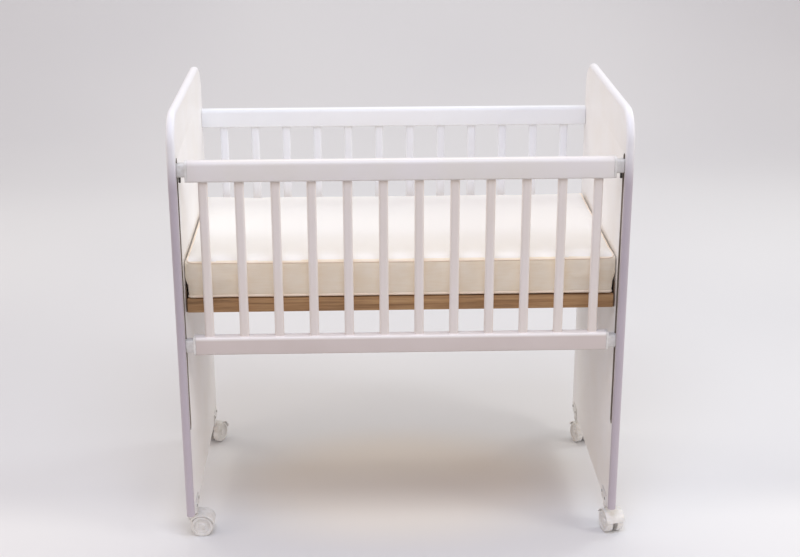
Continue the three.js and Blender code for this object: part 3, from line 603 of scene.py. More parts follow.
# Cotton border round the sides: cream, and as matt.
BORDER_CLOTH = Cloth("mattress_border_cloth", "#FAEFDC", 0.85, shade="#F3E3C9")
# Bias-cut cotton over a cord: warm cream, with a finer thread.
PIPING = Cloth("mattress_piping", "#FBEAD6", 0.8, shade="#F5E1C9", thread=1.2 * MM)
# Matt paper: pale grey, with next to no highlight.
STUDIO_PAPER = Paper("studio_paper", "#DCDCDE", 0.9)


# --------------------------------------------------------------------------------------------
# Mesh helpers
# --------------------------------------------------------------------------------------------


def arc(x: float, y: float, radius: float, start: float, end: float, steps: int) -> Outline:
    """Points on an arc.

    Args:
        x: centre.
        y: centre.
        radius: radius.
        start: first angle in degrees.
        end: last angle in degrees.
        steps: facets.

    Returns:
        steps + 1 points.
    """
    angles = [math.radians(start + (end - start) * i / steps) for i in range(steps + 1)]
    return [(x + radius * math.cos(a), y + radius * math.sin(a)) for a in angles]


def rounded(width: float, height: float, upper: float, lower: float, inset: float = 0.0,
            steps: int = 6) -> Outline:
    """Rounded rectangle round the origin.

    Args:
        width: full width.
        height: full height.
        upper: radius of the upper corners.
        lower: radius of the lower corners.
        inset: how far the outline is drawn in on every side.
        steps: facets of each corner.

    Returns:
        The outline, anticlockwise.
    """
    points: Outline = []
    for side_x, side_y, radius, start in ((1, -1, lower, -90), (1, 1, upper, 0),
                                          (-1, 1, upper, 90), (-1, -1, lower, 180)):
        points += arc(side_x * (width / 2 - radius), side_y * (height / 2 - radius),
                      max(radius - inset, TIGHTEST), start, start + 90, steps)
    if inset > min(upper, lower):
        short = inset - min(upper, lower)
        points = [(x - math.copysign(min(short, abs(x)), x), y - math.copysign(short, y))
                  for x, y in points]
    return points


def to_ring(outline: Outline, axis: Axis, at: float) -> Ring:
    """Places an outline square to an axis.

    Args:
        outline: points; on X they are (Y, Z), on Y (X, Z) and on Z (X, Y).
        axis: the axis the ring stands square to.
        at: place on that axis.

    Returns:
        The ring's points.
    """
    ring = []
    for a, b in outline:
        point = [a, b]
        point.insert(axis.value, at)
        ring.append(Vector(point))
    return ring


def cap(bm: bmesh.types.BMesh, ring: Ring, slot: int = 0) -> None:
    """Adds a flat face on a ring.

    Args:
        bm: mesh to add to.
        ring: its corners.
        slot: material slot of the new face.
    """
    bm.faces.new([bm.verts.new(p) for p in ring]).material_index = slot


def loft(bm: bmesh.types.BMesh, rings: Sequence[Ring], ends: Ends = Ends.CAPPED,
         slot: int = 0) -> list[bmesh.types.BMFace]:
    """Skins rings that have the same number of points.

    Args:
        bm: mesh to add to.
        rings: closed rings in order.
        ends: what happens at the first and last.
        slot: material slot of the new faces.

    Returns:
        The new faces.
    """
    loops = [[bm.verts.new(p) for p in ring] for ring in rings]
    following = loops[1:] + (loops[:1] if ends is Ends.JOINED else [])
    faces = []
    for low, high in zip(loops, following):
        for i, _ in enumerate(low):
            j = (i + 1) % len(low)
            faces.append(bm.faces.new((low[i], low[j], high[j], high[i])))
    if ends is Ends.CAPPED:
        faces.append(bm.faces.new(list(reversed(loops[0]))))
        faces.append(bm.faces.new(loops[-1]))
    for face in faces:
        face.material_index = slot
    return faces


def lathe(bm: bmesh.types.BMesh, profile: Outline, steps: int, axis: Axis = Axis.Z,
          slot: int = 0) -> None:
    """Turns a profile round an axis through the origin.

    Args:
        bm: mesh to add to.
        profile: (radius, place on the axis) points; the ends are on the axis.
        steps: facets round the axis.
        axis: the axis.
        slot: material slot of the new faces.
    """
    loops = []
    for radius, at in profile:
        circle = arc(0, 0, radius, 0, 360, steps)[:-1] if radius else [(0.0, 0.0)]
        loops.append([bm.verts.new(p) for p in to_ring(circle, axis, at)])
    for low, high in zip(loops, loops[1:]):
        for i in range(steps):
            j = (i + 1) % steps
            corners = [low[i % len(low)], low[j % len(low)], high[j % len(high)],
                       high[i % len(high)]]
            corners = list(dict.fromkeys(corners))
            if len(corners) > 2:
                bm.faces.new(corners).material_index = slot


def pierced_face(bm: bmesh.types.BMesh, outer: Ring, holes: Sequence[Ring],
                 slot: int = 0) -> None:
    """Flat face with holes, made of triangles.

    Args:
        bm: mesh to add to.
        outer: boundary.
        holes: boundaries of the holes.
        slot: material slot of the new faces.
    """
    loops = [outer, *holes]
    verts = [bm.verts.new(p) for loop in loops for p in loop]
    for triangle in tessellate_polygon(loops):
        bm.faces.new([verts[i] for i in triangle]).material_index = slot


def finish_mesh(name: str, bm: bmesh.types.BMesh, finishes: Sequence[Finish],
                smooth: float = SHARP, merge: bool = True) -> bpy.types.Object:
    """Turns a bmesh into an object at the origin, its faces pointing out.

    Args:
        name: the piece's name.
        bm: the mesh, which is freed.
        finishes: its finishes, one for each material slot.
        smooth: edges sharper than this many degrees stay sharp.
        merge: whether doubles are merged first.

    Returns:
        The linked object.
    """
    if merge:
        bmesh.ops.remove_doubles(bm, verts=bm.verts, dist=WELD)
    bmesh.ops.recalc_face_normals(bm, faces=bm.faces)
    mesh = bpy.data.meshes.new(name)
    bm.to_mesh(mesh)
    bm.free()
    return dress(name, mesh, finishes, smooth)


def dress(name: str, mesh: bpy.types.Mesh, finishes: Sequence[Finish],
          smooth: float = SHARP) -> bpy.types.Object:
    """Links a mesh as an object, smooths it and gives it its finishes.

    Args:
        name: the piece's name.
        mesh: its mesh.
        finishes: its finishes, one for each material slot.
        smooth: edges sharper than this many degrees stay sharp.

    Returns:
        The linked object.
    """
    mesh.name = name
    if mesh.materials:
        mesh.materials.clear()
    for finish in finishes:
        mesh.materials.append(finish.material())
    mesh.shade_smooth()
    mesh.set_sharp_from_angle(angle=math.radians(smooth))
    obj = bpy.data.objects.new(name, mesh)
    bpy.context.scene.collection.objects.link(obj)
    return obj


def baked(obj: bpy.types.Object) -> bpy.types.Mesh:
    """The object's mesh with its modifiers applied, as a mesh of its own."""
    graph = bpy.context.evaluated_depsgraph_get()
    return bpy.data.meshes.new_from_object(obj.evaluated_get(graph))


def settle(obj: bpy.types.Object) -> None:
    """Applies every modifier of an object and takes it off.

    Args:
        obj: the object, which gets a mesh of its own.
    """
    made = baked(obj)
    old = obj.data
    obj.modifiers.clear()
    obj.data = made
    bpy.data.meshes.remove(old)


def mount(obj: bpy.types.Object, body: str,
          nodes: Iterable[str] = ()) -> bpy.types.Object:
    """Tells the frame what a finished piece is.

    Args:
        obj: the piece.
        body: CAD body it moves with.
        nodes: CAD nodes it stands for.

    Returns:
        The piece.
    """
    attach(obj, body)
    if nodes:
        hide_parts(*nodes)
    log.info("%s: %d faces on %s", obj.name, len(obj.data.polygons), body)
    return obj


def cad_copy(node: str) -> bmesh.types.BMesh:
    """A CAD node's mesh, its loose triangles joined up.

    Args:
        node: the CAD node.

    Returns:
        A mesh of its own.
    """
    bm = bmesh.new()
    bm.from_mesh(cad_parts[node].data)
    bmesh.ops.remove_doubles(bm, verts=bm.verts, dist=CAD_WELD)
    return bm


def softened(node: str, name: str, finish: Finish, radius: float, segments: int = 2,
             flat: float = 1.0, rounded_past: float = 50.0,
             sharp_past: float = 45.0) -> bpy.types.Object:
    """Copy of a hard CAD node with its edges rounded over.

    Args:
        node: the CAD node.
        name: the piece's name.
        finish: its finish.
        radius: width of the rounding.
        segments: facets of the rounding.
        flat: degrees up to which neighbouring faces become one.
        rounded_past: degrees past which an edge is rounded.
        sharp_past: degrees past which an edge stays sharp in the end.

    Returns:
        The linked object.
    """
    bm = cad_copy(node)
    bmesh.ops.dissolve_limit(bm, angle_limit=math.radians(flat), verts=bm.verts, edges=bm.edges)
    obj = finish_mesh(name, bm, [finish], merge=False)
    bevel = obj.modifiers.new("rounding", "BEVEL")
    bevel.width = radius
    bevel.segments = segments
    bevel.limit_method = "ANGLE"
    bevel.angle_limit = math.radians(rounded_past)
    bevel.use_clamp_overlap = True
    settle(obj)
    obj.data.shade_smooth()
    obj.data.set_sharp_from_angle(angle=math.radians(sharp_past))
    return obj


# --------------------------------------------------------------------------------------------
# Geometry Nodes for what repeats
# --------------------------------------------------------------------------------------------


class Recipe:
    """A geometry tree with named inputs, run on a host object and kept as a plain mesh."""

    def __init__(self, name: str) -> None:
        """Starts a tree with a geometry input and output.

        Args:
            name: the tree's name.
        """
        self.tree = bpy.data.node_groups.new(name, "GeometryNodeTree")
        self.identifiers: dict[str, str] = {}
        for way in ("INPUT", "OUTPUT"):
            self.tree.interface.new_socket("Geometry", in_out=way,
                                           socket_type="NodeSocketGeometry")
        self.inputs = self.tree.nodes.new("NodeGroupInput")
        self.output = self.tree.nodes.new("NodeGroupOutput")

    def size(self, name: str, kind: str = "NodeSocketFloat") -> bpy.types.NodeSocket:
        """Adds a named input.

        Args:
            name: its name.
            kind: its socket type.

        Returns:
            The socket inside the tree.
        """
        made = self.tree.interface.new_socket(name, in_out="INPUT", socket_type=kind)
        self.identifiers[name] = made.identifier
        return self.inputs.outputs[name]

    def add(self, kind: str, settings: dict | None = None,
            links: dict | None = None) -> bpy.types.Node:
        """Adds a node to the tree."""
        return add_node(self.tree, kind, settings, links)

    def end(self, geometry: bpy.types.NodeSocket) -> None:
        """Ends the tree in Realize Instances and Set Material.

        Args:
            geometry: the instances.
        """
        solid = self.add("GeometryNodeRealizeInstances", links={"Geometry": geometry})
        dressed = self.add("GeometryNodeSetMaterial", links={
            "Geometry": solid.outputs[0], "Material": self.size("Finish", "NodeSocketMaterial")})
        self.tree.links.new(dressed.outputs[0], self.output.inputs[0])

    def run(self, name: str, points: Iterable[Sequence[float]], values: dict,
            finish: Finish) -> bpy.types.Object:
        """Runs the tree on a host mesh that is only points.

        Args:
            name: the piece's name.
            points: where the tree starts from, such as the points of a pattern.
            values: value of each named input.
            finish: its finish.

        Returns:
            A plain mesh object with no modifier.
        """
        host = bpy.data.meshes.new("points")
        host.from_pydata([tuple(p) for p in points], [], [])
        holder = bpy.data.objects.new(name + ".pattern", host)
        bpy.context.scene.collection.objects.link(holder)
        modifier = holder.modifiers.new("pattern", "NODES")
        modifier.node_group = self.tree
        for key, value in {**values, "Finish": finish.material()}.items():
            modifier[self.identifiers[key]] = value
        mesh = baked(holder)
        holder.modifiers.remove(modifier)
        bpy.data.objects.remove(holder)
        bpy.data.meshes.remove(host)
        return dress(name, mesh, [finish])


@cache
def slat_recipe() -> Recipe:
    """Rounded bars in a row: each is an outline swept along its length.

    Returns:
        The recipe, with inputs for the row and for one bar.
    """
    recipe = Recipe("slat_row")
    count = recipe.size("Count", "NodeSocketInt")
    start = recipe.size("First", "NodeSocketVector")
    step = recipe.size("Pitch", "NodeSocketVector")
    reach = recipe.size("Length", "NodeSocketVector")
    width, thickness = recipe.size("Width"), recipe.size("Thickness")
    radius = recipe.size("Edge Radius")
    row = recipe.add("GeometryNodeMeshLine", {"mode": "OFFSET"}, {
        "Count": count, "Start Location": start, "Offset": step})
    section = recipe.add("GeometryNodeCurvePrimitiveQuadrilateral", links={
        "Width": width, "Height": thickness})
    eased = recipe.add("GeometryNodeFilletCurve", {"mode": "POLY", "Count": 6}, {
        "Curve": section.outputs[0], "Radius": radius})
    path = recipe.add("GeometryNodeCurvePrimitiveLine", links={"End": reach})
    bar = recipe.add("GeometryNodeCurveToMesh", {"Fill Caps": True}, {
        "Curve": path.outputs[0], "Profile Curve": eased.outputs[0]})
    placed = recipe.add("GeometryNodeInstanceOnPoints", links={
        "Points": row.outputs[0], "Instance": bar.outputs[0]})
    recipe.end(placed.outputs[0])
    return recipe


@cache
def scatter_recipe() -> Recipe:
    """Copies of one small part on the points of a pattern, all turned the same way.

    Returns:
        The recipe, with inputs for the part and its turn.
    """
    recipe = Recipe("fastener_pattern")
    part = recipe.size("Part", "NodeSocketObject")
    turn = recipe.size("Turn", "NodeSocketRotation")
    shape = recipe.add("GeometryNodeObjectInfo", links={"Object": part})
    placed = recipe.add("GeometryNodeInstanceOnPoints", links={
        "Points": recipe.inputs.outputs["Geometry"], "Instance": shape.outputs["Geometry"],
        "Rotation": turn})
    recipe.end(placed.outputs[0])
    return recipe


# --------------------------------------------------------------------------------------------
# End panels
# --------------------------------------------------------------------------------------------


@dataclass
class EndPanel:
    """A board with round top corners, a banded round edge, and the gate's groove."""

    end: End
    corner: float = 68 * MM
    corner_steps: int = 24
    edge: float = 8 * MM
    edge_facet: int = 10  # degrees
    groove_half: float = 10 * MM
    groove_depth: float = 12 * MM
    groove_low: float = 274 * MM
    groove_high: float = 891 * MM
    groove_y: float = -260 * MM
    groove_flat: float = 0.4 * MM  # between the two rounds of each of its ends
    groove_ease: float = 0.8 * MM
    bolt_y: float = 268 * MM
    bolt_levels: tuple[float, ...] = (461 * MM, 849.5 * MM)
    bolt_well: float = 7.5 * MM
    bolt_depth: float = 3.6 * MM
    well_ease: float = 0.4 * MM
    seam: float = 0.35 * MM
    sharp: float = 28.0  # degrees past which its edges are drawn sharp

    def __post_init__(self) -> None:
        """Reads the board's box from the CAD node."""
        self.low, self.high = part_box(f"end_panel_{self.end.word}")

    def ring(self, inset: float, x: float) -> Ring:
        """Outline of the board, drawn in on its sides and top but not at its bottom.

        Args:
            inset: how far it is drawn in.
            x: where it stands.

        Returns:
            The ring.
        """
        half = self.high.y - inset
        top = self.high.z - inset
        radius = self.corner - inset
        points = [(half, self.low.z)]
        points += arc(half - radius, top - radius, radius, 0, 90, self.corner_steps)
        points += arc(-half + radius, top - radius, radius, 90, 180, self.corner_steps)
        points.append((-half, self.low.z))
        return to_ring(points, Axis.X, x)

    def slot_ring(self, grow: float, x: float) -> Ring:
        """Outline of the groove.

        Args:
            grow: how far it is drawn out on every side.
            x: where it stands.

        Returns:
            The ring.
        """
        half = self.groove_half + grow
        middle = (self.groove_low + self.groove_high) / 2
        height = self.groove_high - self.groove_low + 2 * grow
        radius = half - self.groove_flat / 2
        outline = rounded(2 * half, height, radius, radius, steps=10)
        return to_ring([(y + self.groove_y, z + middle) for y, z in outline], Axis.X, x)

    def well_ring(self, level: float, grow: float, x: float) -> Ring:
        """Rim of a bolt's counterbore, as a ring at a level."""
        circle = arc(self.bolt_y, level, self.bolt_well + grow, 0, 360, steps=24)[:-1]
        return to_ring(circle, Axis.X, x)

    def build(self) -> None:
        """Builds the board."""
        sign = self.end.value
        inner, outer = (self.low.x, self.high.x) if sign > 0 else (self.high.x, self.low.x)
        face_slot, band_slot, groove_shade_slot = range(3)
        bm = bmesh.new()

        def at(depth: float) -> float:
            """X at a depth from the inner face."""
            return inner + sign * depth

        # The band's round is drawn as (inset, depth) from the inner face, after a hairline seam.
        thickness = abs(outer - inner)
        seam_at = self.edge + 2 * self.seam
        bands = [(seam_at, 0.0), (self.edge + self.seam, self.seam), (self.edge, 0.0)]
        bands += [(self.edge * (1 - math.sin(math.radians(a))),
                   self.edge * (1 - math.cos(math.radians(a))))
                  for a in range(self.edge_facet, 91, self.edge_facet)]
        rings = [self.ring(inset, at(depth)) for inset, depth in bands]
        rings += [self.ring(inset, at(thickness - depth)) for inset, depth in reversed(bands)]
        faces = loft(bm, rings, Ends.OPEN, band_slot)
        bm.normal_update()
        for face in faces:  # the sawn bottom has lacquer and no band
            if abs(face.normal.z) > 0.9 and face.calc_center_median().z < self.low.z + MM:
                face.material_index = face_slot

        ease, deep = self.groove_ease, self.groove_depth
        pierced_face(bm, self.ring(seam_at, inner), [self.slot_ring(ease, inner)], face_slot)
        # The groove's walls and floor take the dark painted-shade finish.
        loft(bm, [self.slot_ring(ease, inner), self.slot_ring(0.25 * ease, at(0.25 * ease)),
                  self.slot_ring(0, at(ease)), self.slot_ring(0, at(deep))], Ends.OPEN, groove_shade_slot)
        cap(bm, self.slot_ring(0, at(deep)), groove_shade_slot)

        rim, floor = self.well_ease, at(thickness - self.bolt_depth)
        wells = [self.well_ring(level, rim, outer) for level in self.bolt_levels]
        pierced_face(bm, self.ring(seam_at, outer), wells, face_slot)
        for level in self.bolt_levels:
            loft(bm, [self.well_ring(level, rim, outer),
                      self.well_ring(level, 0, at(thickness - rim)),
                      self.well_ring(level, 0, floor)], Ends.OPEN, face_slot)
            cap(bm, self.well_ring(level, 0, floor), face_slot)
        node = f"end_panel_{self.end.word}"
        piece = finish_mesh(f"{node}_board", bm, [BOARD_LACQUER, EDGE_BAND_SHADED, GROOVE_PAINTED_SHADE],
                            smooth=self.sharp)
        mount(piece, "crib", [node])


# --------------------------------------------------------------------------------------------
# Slatted sides
# --------------------------------------------------------------------------------------------


@dataclass
class SlattedSide:
    """Two rails and their slats: the gate or the fixed back."""

    word: str
    body: str
    rail_lacquer: Finish
    slat_lacquer: Finish
    slats: int = 12
    top_radius: float = 10 * MM
    edge_radius: float = 4 * MM
    end_ease: float = 0.7 * MM
    stations: int = 24  # along a rail, so that none of its faces is a long sliver
    slat_radius: float = 5.5 * MM
    clean_band: float = 9 * MM
    clean_edge: float = 2 * MM

    def low_rail_lacquer(self) -> FadedLacquer:
        """The bottom rail's coat: greyer than the rest, a painted shade, and white along the
        rail's upper edge, a painted highlight.

        Returns:
            The finish, at this rail's height.
        """
        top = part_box(f"{self.word}_bottom_rail")[1].z
        return FadedLacquer(f"satin_lacquer_on_{self.word}_low_rail", "#DBD0CC", 0.4,
                            warm="#D5C9C4", grain=GRAIN_ALONG_X, clean="#FAF5F3",
                            grey_below=top - self.clean_band, clean_above=top - self.clean_edge)

    def rail(self, level: str, upper: float, finish: Finish) -> None:
        """Builds a rounded rail along X in place of its CAD node.

        Args:
            level: which rail, as the CAD node spells it.
            upper: radius of its two upper edges.
            finish: its finish.
        """
        node = f"{self.word}_{level}_rail"
        low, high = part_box(node)
        size, middle = high - low, (low + high) / 2
        ease = self.end_ease

        def ring(inset: float, x: float) -> Ring:
            """Section of the rail at a place on X."""
            outline = rounded(size.y, size.z, upper, self.edge_radius, inset, steps=8)
            return to_ring([(y + middle.y, z + middle.z) for y, z in outline], Axis.X, x)

        stops = [(ease, low.x), (0.3 * ease, low.x + 0.3 * ease), (0, low.x + ease)]
        rings = [ring(inset, x) for inset, x in stops]
        rings += [ring(0, low.x + (high.x - low.x) * i / self.stations)
                  for i in range(1, self.stations)]
        rings += [ring(inset, low.x + high.x - x) for inset, x in reversed(stops)]
        bm = bmesh.new()
        loft(bm, rings)
        mount(finish_mesh(f"{node}_turned", bm, [finish]), self.body, [node])

    def build(self) -> None:
        """Builds both rails and the row of slats."""
        self.rail("top", self.top_radius, self.rail_lacquer)
        self.rail("bottom", self.edge_radius, self.low_rail_lacquer())
        nodes = [f"{self.word}_slat_{i:02d}" for i in range(1, self.slats + 1)]
        first_low, first_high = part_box(nodes[0])
        last_low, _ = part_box(nodes[-1])
        size = first_high - first_low
        start = (first_low + first_high) / 2
        start.z = first_low.z
        row = slat_recipe().run(f"{self.word}_slat_row", [(0, 0, 0)], {
            "Count": self.slats, "First": start,
            "Pitch": (last_low - first_low) / (self.slats - 1), "Length": (0, 0, size.z),
            "Width": size.x, "Thickness": size.y, "Edge Radius": self.slat_radius},
            self.slat_lacquer)
        mount(row, self.body, nodes)


# --------------------------------------------------------------------------------------------
# Fittings of the gate
# --------------------------------------------------------------------------------------------


@dataclass
class GateFittings:
    """Sliders, latches and keepers: CAD shapes with their moulded or pressed edges."""

    moulded: float = 0.9 * MM
    pressed: float = 0.25 * MM
    draw: float = 4.2 * MM

    def spring(self, end: End) -> None:
        """Builds the coil behind a latch bolt, from its CAD node.

        Args:
            end: the end of the crib.
        """
        node = f"latch_spring_{end.word}"
        wire = finish_mesh(f"{node}_wire", cad_copy(node), [ZINC_STEEL], merge=False)
        piece = mount(wire, "gate", [node])
        f"latch_{end.word}_slide"
        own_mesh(piece)

    def build(self) -> None:
        """Builds the fittings of both ends."""
        for end in End:
            for level in ("top", "bottom"):
                node = f"slider_{level}_{end.word}"
                mount(softened(node, f"{node}_moulding", WHITE_NYLON, self.moulded), "gate",
                      [node])
            node = f"latch_bolt_{end.word}"
            mount(softened(node, f"{node}_pin", BLACK_STEEL, self.pressed * 2),
                  f"latch_{end.word}", [node])
            node = f"keeper_{end.word}"
            mount(softened(node, f"{node}_strip", BLACK_STEEL, self.pressed, 1), "crib",
                  [node])
            self.spring(end)


# --------------------------------------------------------------------------------------------
# Base, mattress and metalwork
# --------------------------------------------------------------------------------------------


@dataclass
class SlattedBase:
    """Bare wood frame with cross slats let into its long rails."""

    rail: float = 22 * MM
    rebate: float = 12 * MM
    slat_width: float = 60 * MM
    slat_depth: float = 8.5 * MM
    slat_sink: float = 0.5 * MM
    slat_end_gap: float = 1 * MM
    slats: int = 9
    ease: float = 1.2 * MM

    def bar(self, bm: bmesh.types.BMesh, low: Vector, high: Vector, axis: Axis, slot: int) -> None:
        """Adds a bar with eased edges.

        Args:
            bm: mesh to add to.
            low: lowest corner.
            high: highest corner.
            axis: the bar's length.
            slot: material slot.
        """
        middle, size = (low + high) / 2, high - low
        first, second = (a.value for a in Axis if a is not axis)

        def ring(inset: float, at: float) -> Ring:
            """Section of the bar.

            Args:
                inset: how far it is drawn in.
                at: place along the bar.

            Returns:
                The ring.
            """
            outline = rounded(size[first], size[second], self.ease, self.ease, inset, steps=2)
            return to_ring([(a + middle[first], b + middle[second]) for a, b in outline],
                           axis, at)

        start, end = low[axis.value], high[axis.value]
        loft(bm, [ring(self.ease, start), ring(0, start + self.ease),
                  ring(0, end - self.ease), ring(self.ease, end)], slot=slot)

    def build(self) -> None:
        """Builds the frame and its slats."""
        low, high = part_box("slatted_base")
        along_slot, across_slot = range(2)
        bm = bmesh.new()
        for y in (low.y, high.y - self.rail):
            self.bar(bm, Vector((low.x, y, low.z)), Vector((high.x, y + self.rail, high.z)),
                     Axis.X, along_slot)
        for x in (low.x, high.x - self.rail):
            self.bar(bm, Vector((x, low.y + self.rail, low.z)),
                     Vector((x + self.rail, high.y - self.rail, high.z)), Axis.Y, across_slot)
        framework = finish_mesh("base_frame", bm, [LONG_WOOD, CROSS_WOOD], merge=False)
        mount(framework, "crib", ["slatted_base"])

        inside = high.x - self.rail
        pitch = 2 * inside / self.slats
        reach = high.y - low.y - 2 * (self.rail - self.rebate + self.slat_end_gap)
        top = high.z - self.slat_sink - self.slat_depth / 2
        first = (-(self.slats - 1) / 2 * pitch, (low.y + high.y) / 2 - reach / 2, top)
        row = slat_recipe().run("base_slat_row", [(0, 0, 0)], {
            "Count": self.slats, "First": first, "Pitch": (pitch, 0, 0), "Length": (0, reach, 0),
            "Width": self.slat_width, "Thickness": self.slat_depth, "Edge Radius": self.ease},
            CROSS_WOOD)
        mount(row, "crib")


@dataclass
class Mattress:
    """Foam mattress in a sewn cover: crowned faces, soft corners, and a piped seam round the
    top and the bottom of its border."""

    start_inset: float = 3.5 * MM
    corner: float = 14 * MM
    edge: float = 8 * MM
    edge_facet: int = 15  # degrees
    voxel: float = 6 * MM
    quality: int = 5
    pressure: float = 4.0
    stiffness: float = 40.0
    shear: float = 20.0
    bending: float = 2.0
    frames: int = 20
    cap: float = 5 * MM  # the farthest that the filling moves a point
    sag: float = 1.5 * MM
    top_piping: float = 1.8 * MM
    bottom_piping: float = 3.0 * MM
    bottom_lift: float = 0.4 * MM
    piping_step: float = 12 * MM
    side_gap: float = 0.5 * MM
    spread: float = 11 * MM  # how far each end is drawn out above the angles
    low_spread: float = 5 * MM  # and between their legs
    panel_gap: float = 0.8 * MM
    grip: float = 2 * MM  # thickness of an angle's leg
    grip_height: float = 24 * MM

    def __post_init__(self) -> None:
        """Reads the mattress's box from the CAD node."""
        self.low, self.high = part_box("mattress")
        self.size: Vector = self.high - self.low
        self.middle: Vector = (self.low + self.high) / 2

    def blank(self) -> bpy.types.Object:
        """The cover before it is filled, a little smaller than the CAD solid.

        Returns:
            The object.
        """
        def ring(side: int, angle: int) -> Ring:
            """The cover's outline on the round of its lower or upper edge.

            Args:
                side: -1 for the lower edge, 1 for the upper.
                angle: how far up the round, in degrees.

            Returns:
                The ring.
            """
            turn = math.radians(angle)
            inset = self.edge * (1 - math.cos(turn)) + self.start_inset
            level = self.size.z / 2 - self.edge + self.edge * math.sin(turn)
            outline = rounded(self.size.x, self.size.y, self.corner, self.corner, inset, steps=8)
            return to_ring([(x + self.middle.x, y + self.middle.y) for x, y in outline],
                           Axis.Z, self.middle.z + side * level)

        angles = range(0, 91, self.edge_facet)
        bm = bmesh.new()
        loft(bm, [ring(-1, a) for a in reversed(angles)] + [ring(1, a) for a in angles])
        return finish_mesh("mattress_cover", bm, [TICKING, BORDER_CLOTH], smooth=ALL_SMOOTH)

    def fill(self, obj: bpy.types.Object) -> None:
        """Remeshes the blank and puffs it up as cloth, then caps how far it moved.

        Args:
            obj: the blank.
        """
        remesh = obj.modifiers.new("remesh", "REMESH")
        remesh.mode = "VOXEL"
        remesh.voxel_size = self.voxel
        settle(obj)
        rest = np.array([v.co for v in obj.data.vertices])
        cloth = obj.modifiers.new("fill", "CLOTH")
        cloth.settings.quality = self.quality
        cloth.settings.use_pressure = True
        cloth.settings.uniform_pressure_force = self.pressure
        cloth.settings.effector_weights.gravity = 0
        cloth.settings.tension_stiffness = self.stiffness
        cloth.settings.compression_stiffness = self.stiffness
        cloth.settings.shear_stiffness = self.shear
        cloth.settings.bending_stiffness = self.bending
        for number in range(1, self.frames + 1):
            bpy.context.scene.frame_set(number)
        moved = baked(obj)
        co = np.array([v.co for v in moved.vertices])
        bpy.data.meshes.remove(moved)
        obj.modifiers.clear()
        bpy.context.scene.frame_set(1)
        shift = co - rest
        far = np.linalg.norm(shift, axis=1, keepdims=True)
        rest = rest + shift * np.minimum(1, self.cap / np.maximum(far, 1e-9))
        rest = self.seated(rest)
        obj.data.vertices.foreach_set("co", rest.astype(np.float32).ravel())
        obj.data.update()

    def seated(self, co: np.ndarray) -> np.ndarray:
        """Draws the cover out to its full length and width, more above the angles that grip its
        ends, presses its underside flat and lets its top sag a little.

        Args:
            co: vertex places.

        Returns:
            New vertex places.
        """
        low, high = np.array(self.low), np.array(self.high)
        middle, half = (low + high) / 2, (high - low) / 2
        reach = (co.max(axis=0) - co.min(axis=0)) / 2
        out = co.copy()
        out[:, :2] = middle[:2] + (co[:, :2] - middle[:2]) * ((half - self.side_gap) / reach)[:2]
        free = np.clip((out[:, 2] - low[2] - self.grip_height) / self.grip_height, 0, 1)
        free = free * free * (3 - 2 * free)
        out[:, 0] *= 1 + (self.low_spread + (self.spread - self.low_spread) * free) / half[0]
        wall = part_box("end_panel_right")[0].x - self.panel_gap - self.grip * (1 - free)
        out[:, 0] = np.clip(out[:, 0], -wall, wall)
        share = np.clip((out[:, 2] - low[2]) / (high[2] - low[2]), 0, 1)
        along = np.clip(1 - ((out[:, 0] - middle[0]) / half[0]) ** 2, 0, 1)
        out[:, 2] -= share * self.sag * along
        out[:, 2] = np.maximum(out[:, 2], low[2])
        return out

    def seam_line(self, tree: BVHTree, level: float) -> list[Vector]:
        """Points on the cover along a seam.

        Args:
            tree: the cover's surface.
            level: height of the seam.

        Returns:
            A closed line of points.
        """
        outline = rounded(self.size.x, self.size.y, self.corner, self.corner, steps=12)
        dense: Outline = []
        for (ax, ay), (bx, by) in zip(outline, outline[1:] + outline[:1]):
            steps = max(1, round(math.hypot(bx - ax, by - ay) / self.piping_step))
            dense += [(ax + (bx - ax) * i / steps, ay + (by - ay) * i / steps)
                      for i in range(steps)]
        line = []
        for x, y in dense:
            along = 1 - min(1.0, abs(x) / (self.size.x / 2)) ** 2
            drop = self.sag * along * (level - self.low.z) / self.size.z
            probe = Vector((x + self.middle.x, y + self.middle.y, level - drop))
            line.append(tree.find_nearest(probe)[0])
        return line

    def piping_piece(self, line: list[Vector], radius: float, name: str) -> None:
        """Sews a round piping along a seam, as a closed tube.

        Args:
            line: the seam.
            radius: radius of the piping.
            name: the piece's name.
        """
        rings = []
        for i, point in enumerate(line):
            along = (line[(i + 1) % len(line)] - line[i - 1]).normalized()
            out = Vector((along.y, -along.x, 0))
            if out.dot(point - self.middle) < 0:
                out.negate()
            up = along.cross(out).normalized()
            rings.append([point + out * a + up * b
                          for a, b in arc(0, 0, radius, 0, 360, steps=10)[:-1]])
        bm = bmesh.new()
        loft(bm, rings, Ends.JOINED)
        mount(finish_mesh(name, bm, [PIPING], smooth=ALL_SMOOTH), "crib")

    def build(self) -> None:
        """Builds the filled cover, then its seams."""
        cover = self.blank()
        self.fill(cover)
        finer = cover.modifiers.new("finer", "SUBSURF")
        finer.levels = finer.render_levels = 1
        settle(cover)
        faces_slot, border_slot = range(2)
        levels = (self.low.z + self.bottom_piping + self.bottom_lift,
                  self.high.z - self.top_piping)
        for face in cover.data.polygons:
            bordered = levels[0] < face.center.z < levels[1] - self.sag / 2
            face.material_index = border_slot if bordered else faces_slot
            face.use_smooth = True
        tree = BVHTree.FromObject(cover, bpy.context.evaluated_depsgraph_get())
        mount(cover, "crib", ["mattress"])
        for level, radius, word in zip(levels, (self.bottom_piping, self.top_piping),
                                       ("bottom", "top")):
            self.piping_piece(self.seam_line(tree, level), radius, f"mattress_piping_{word}")


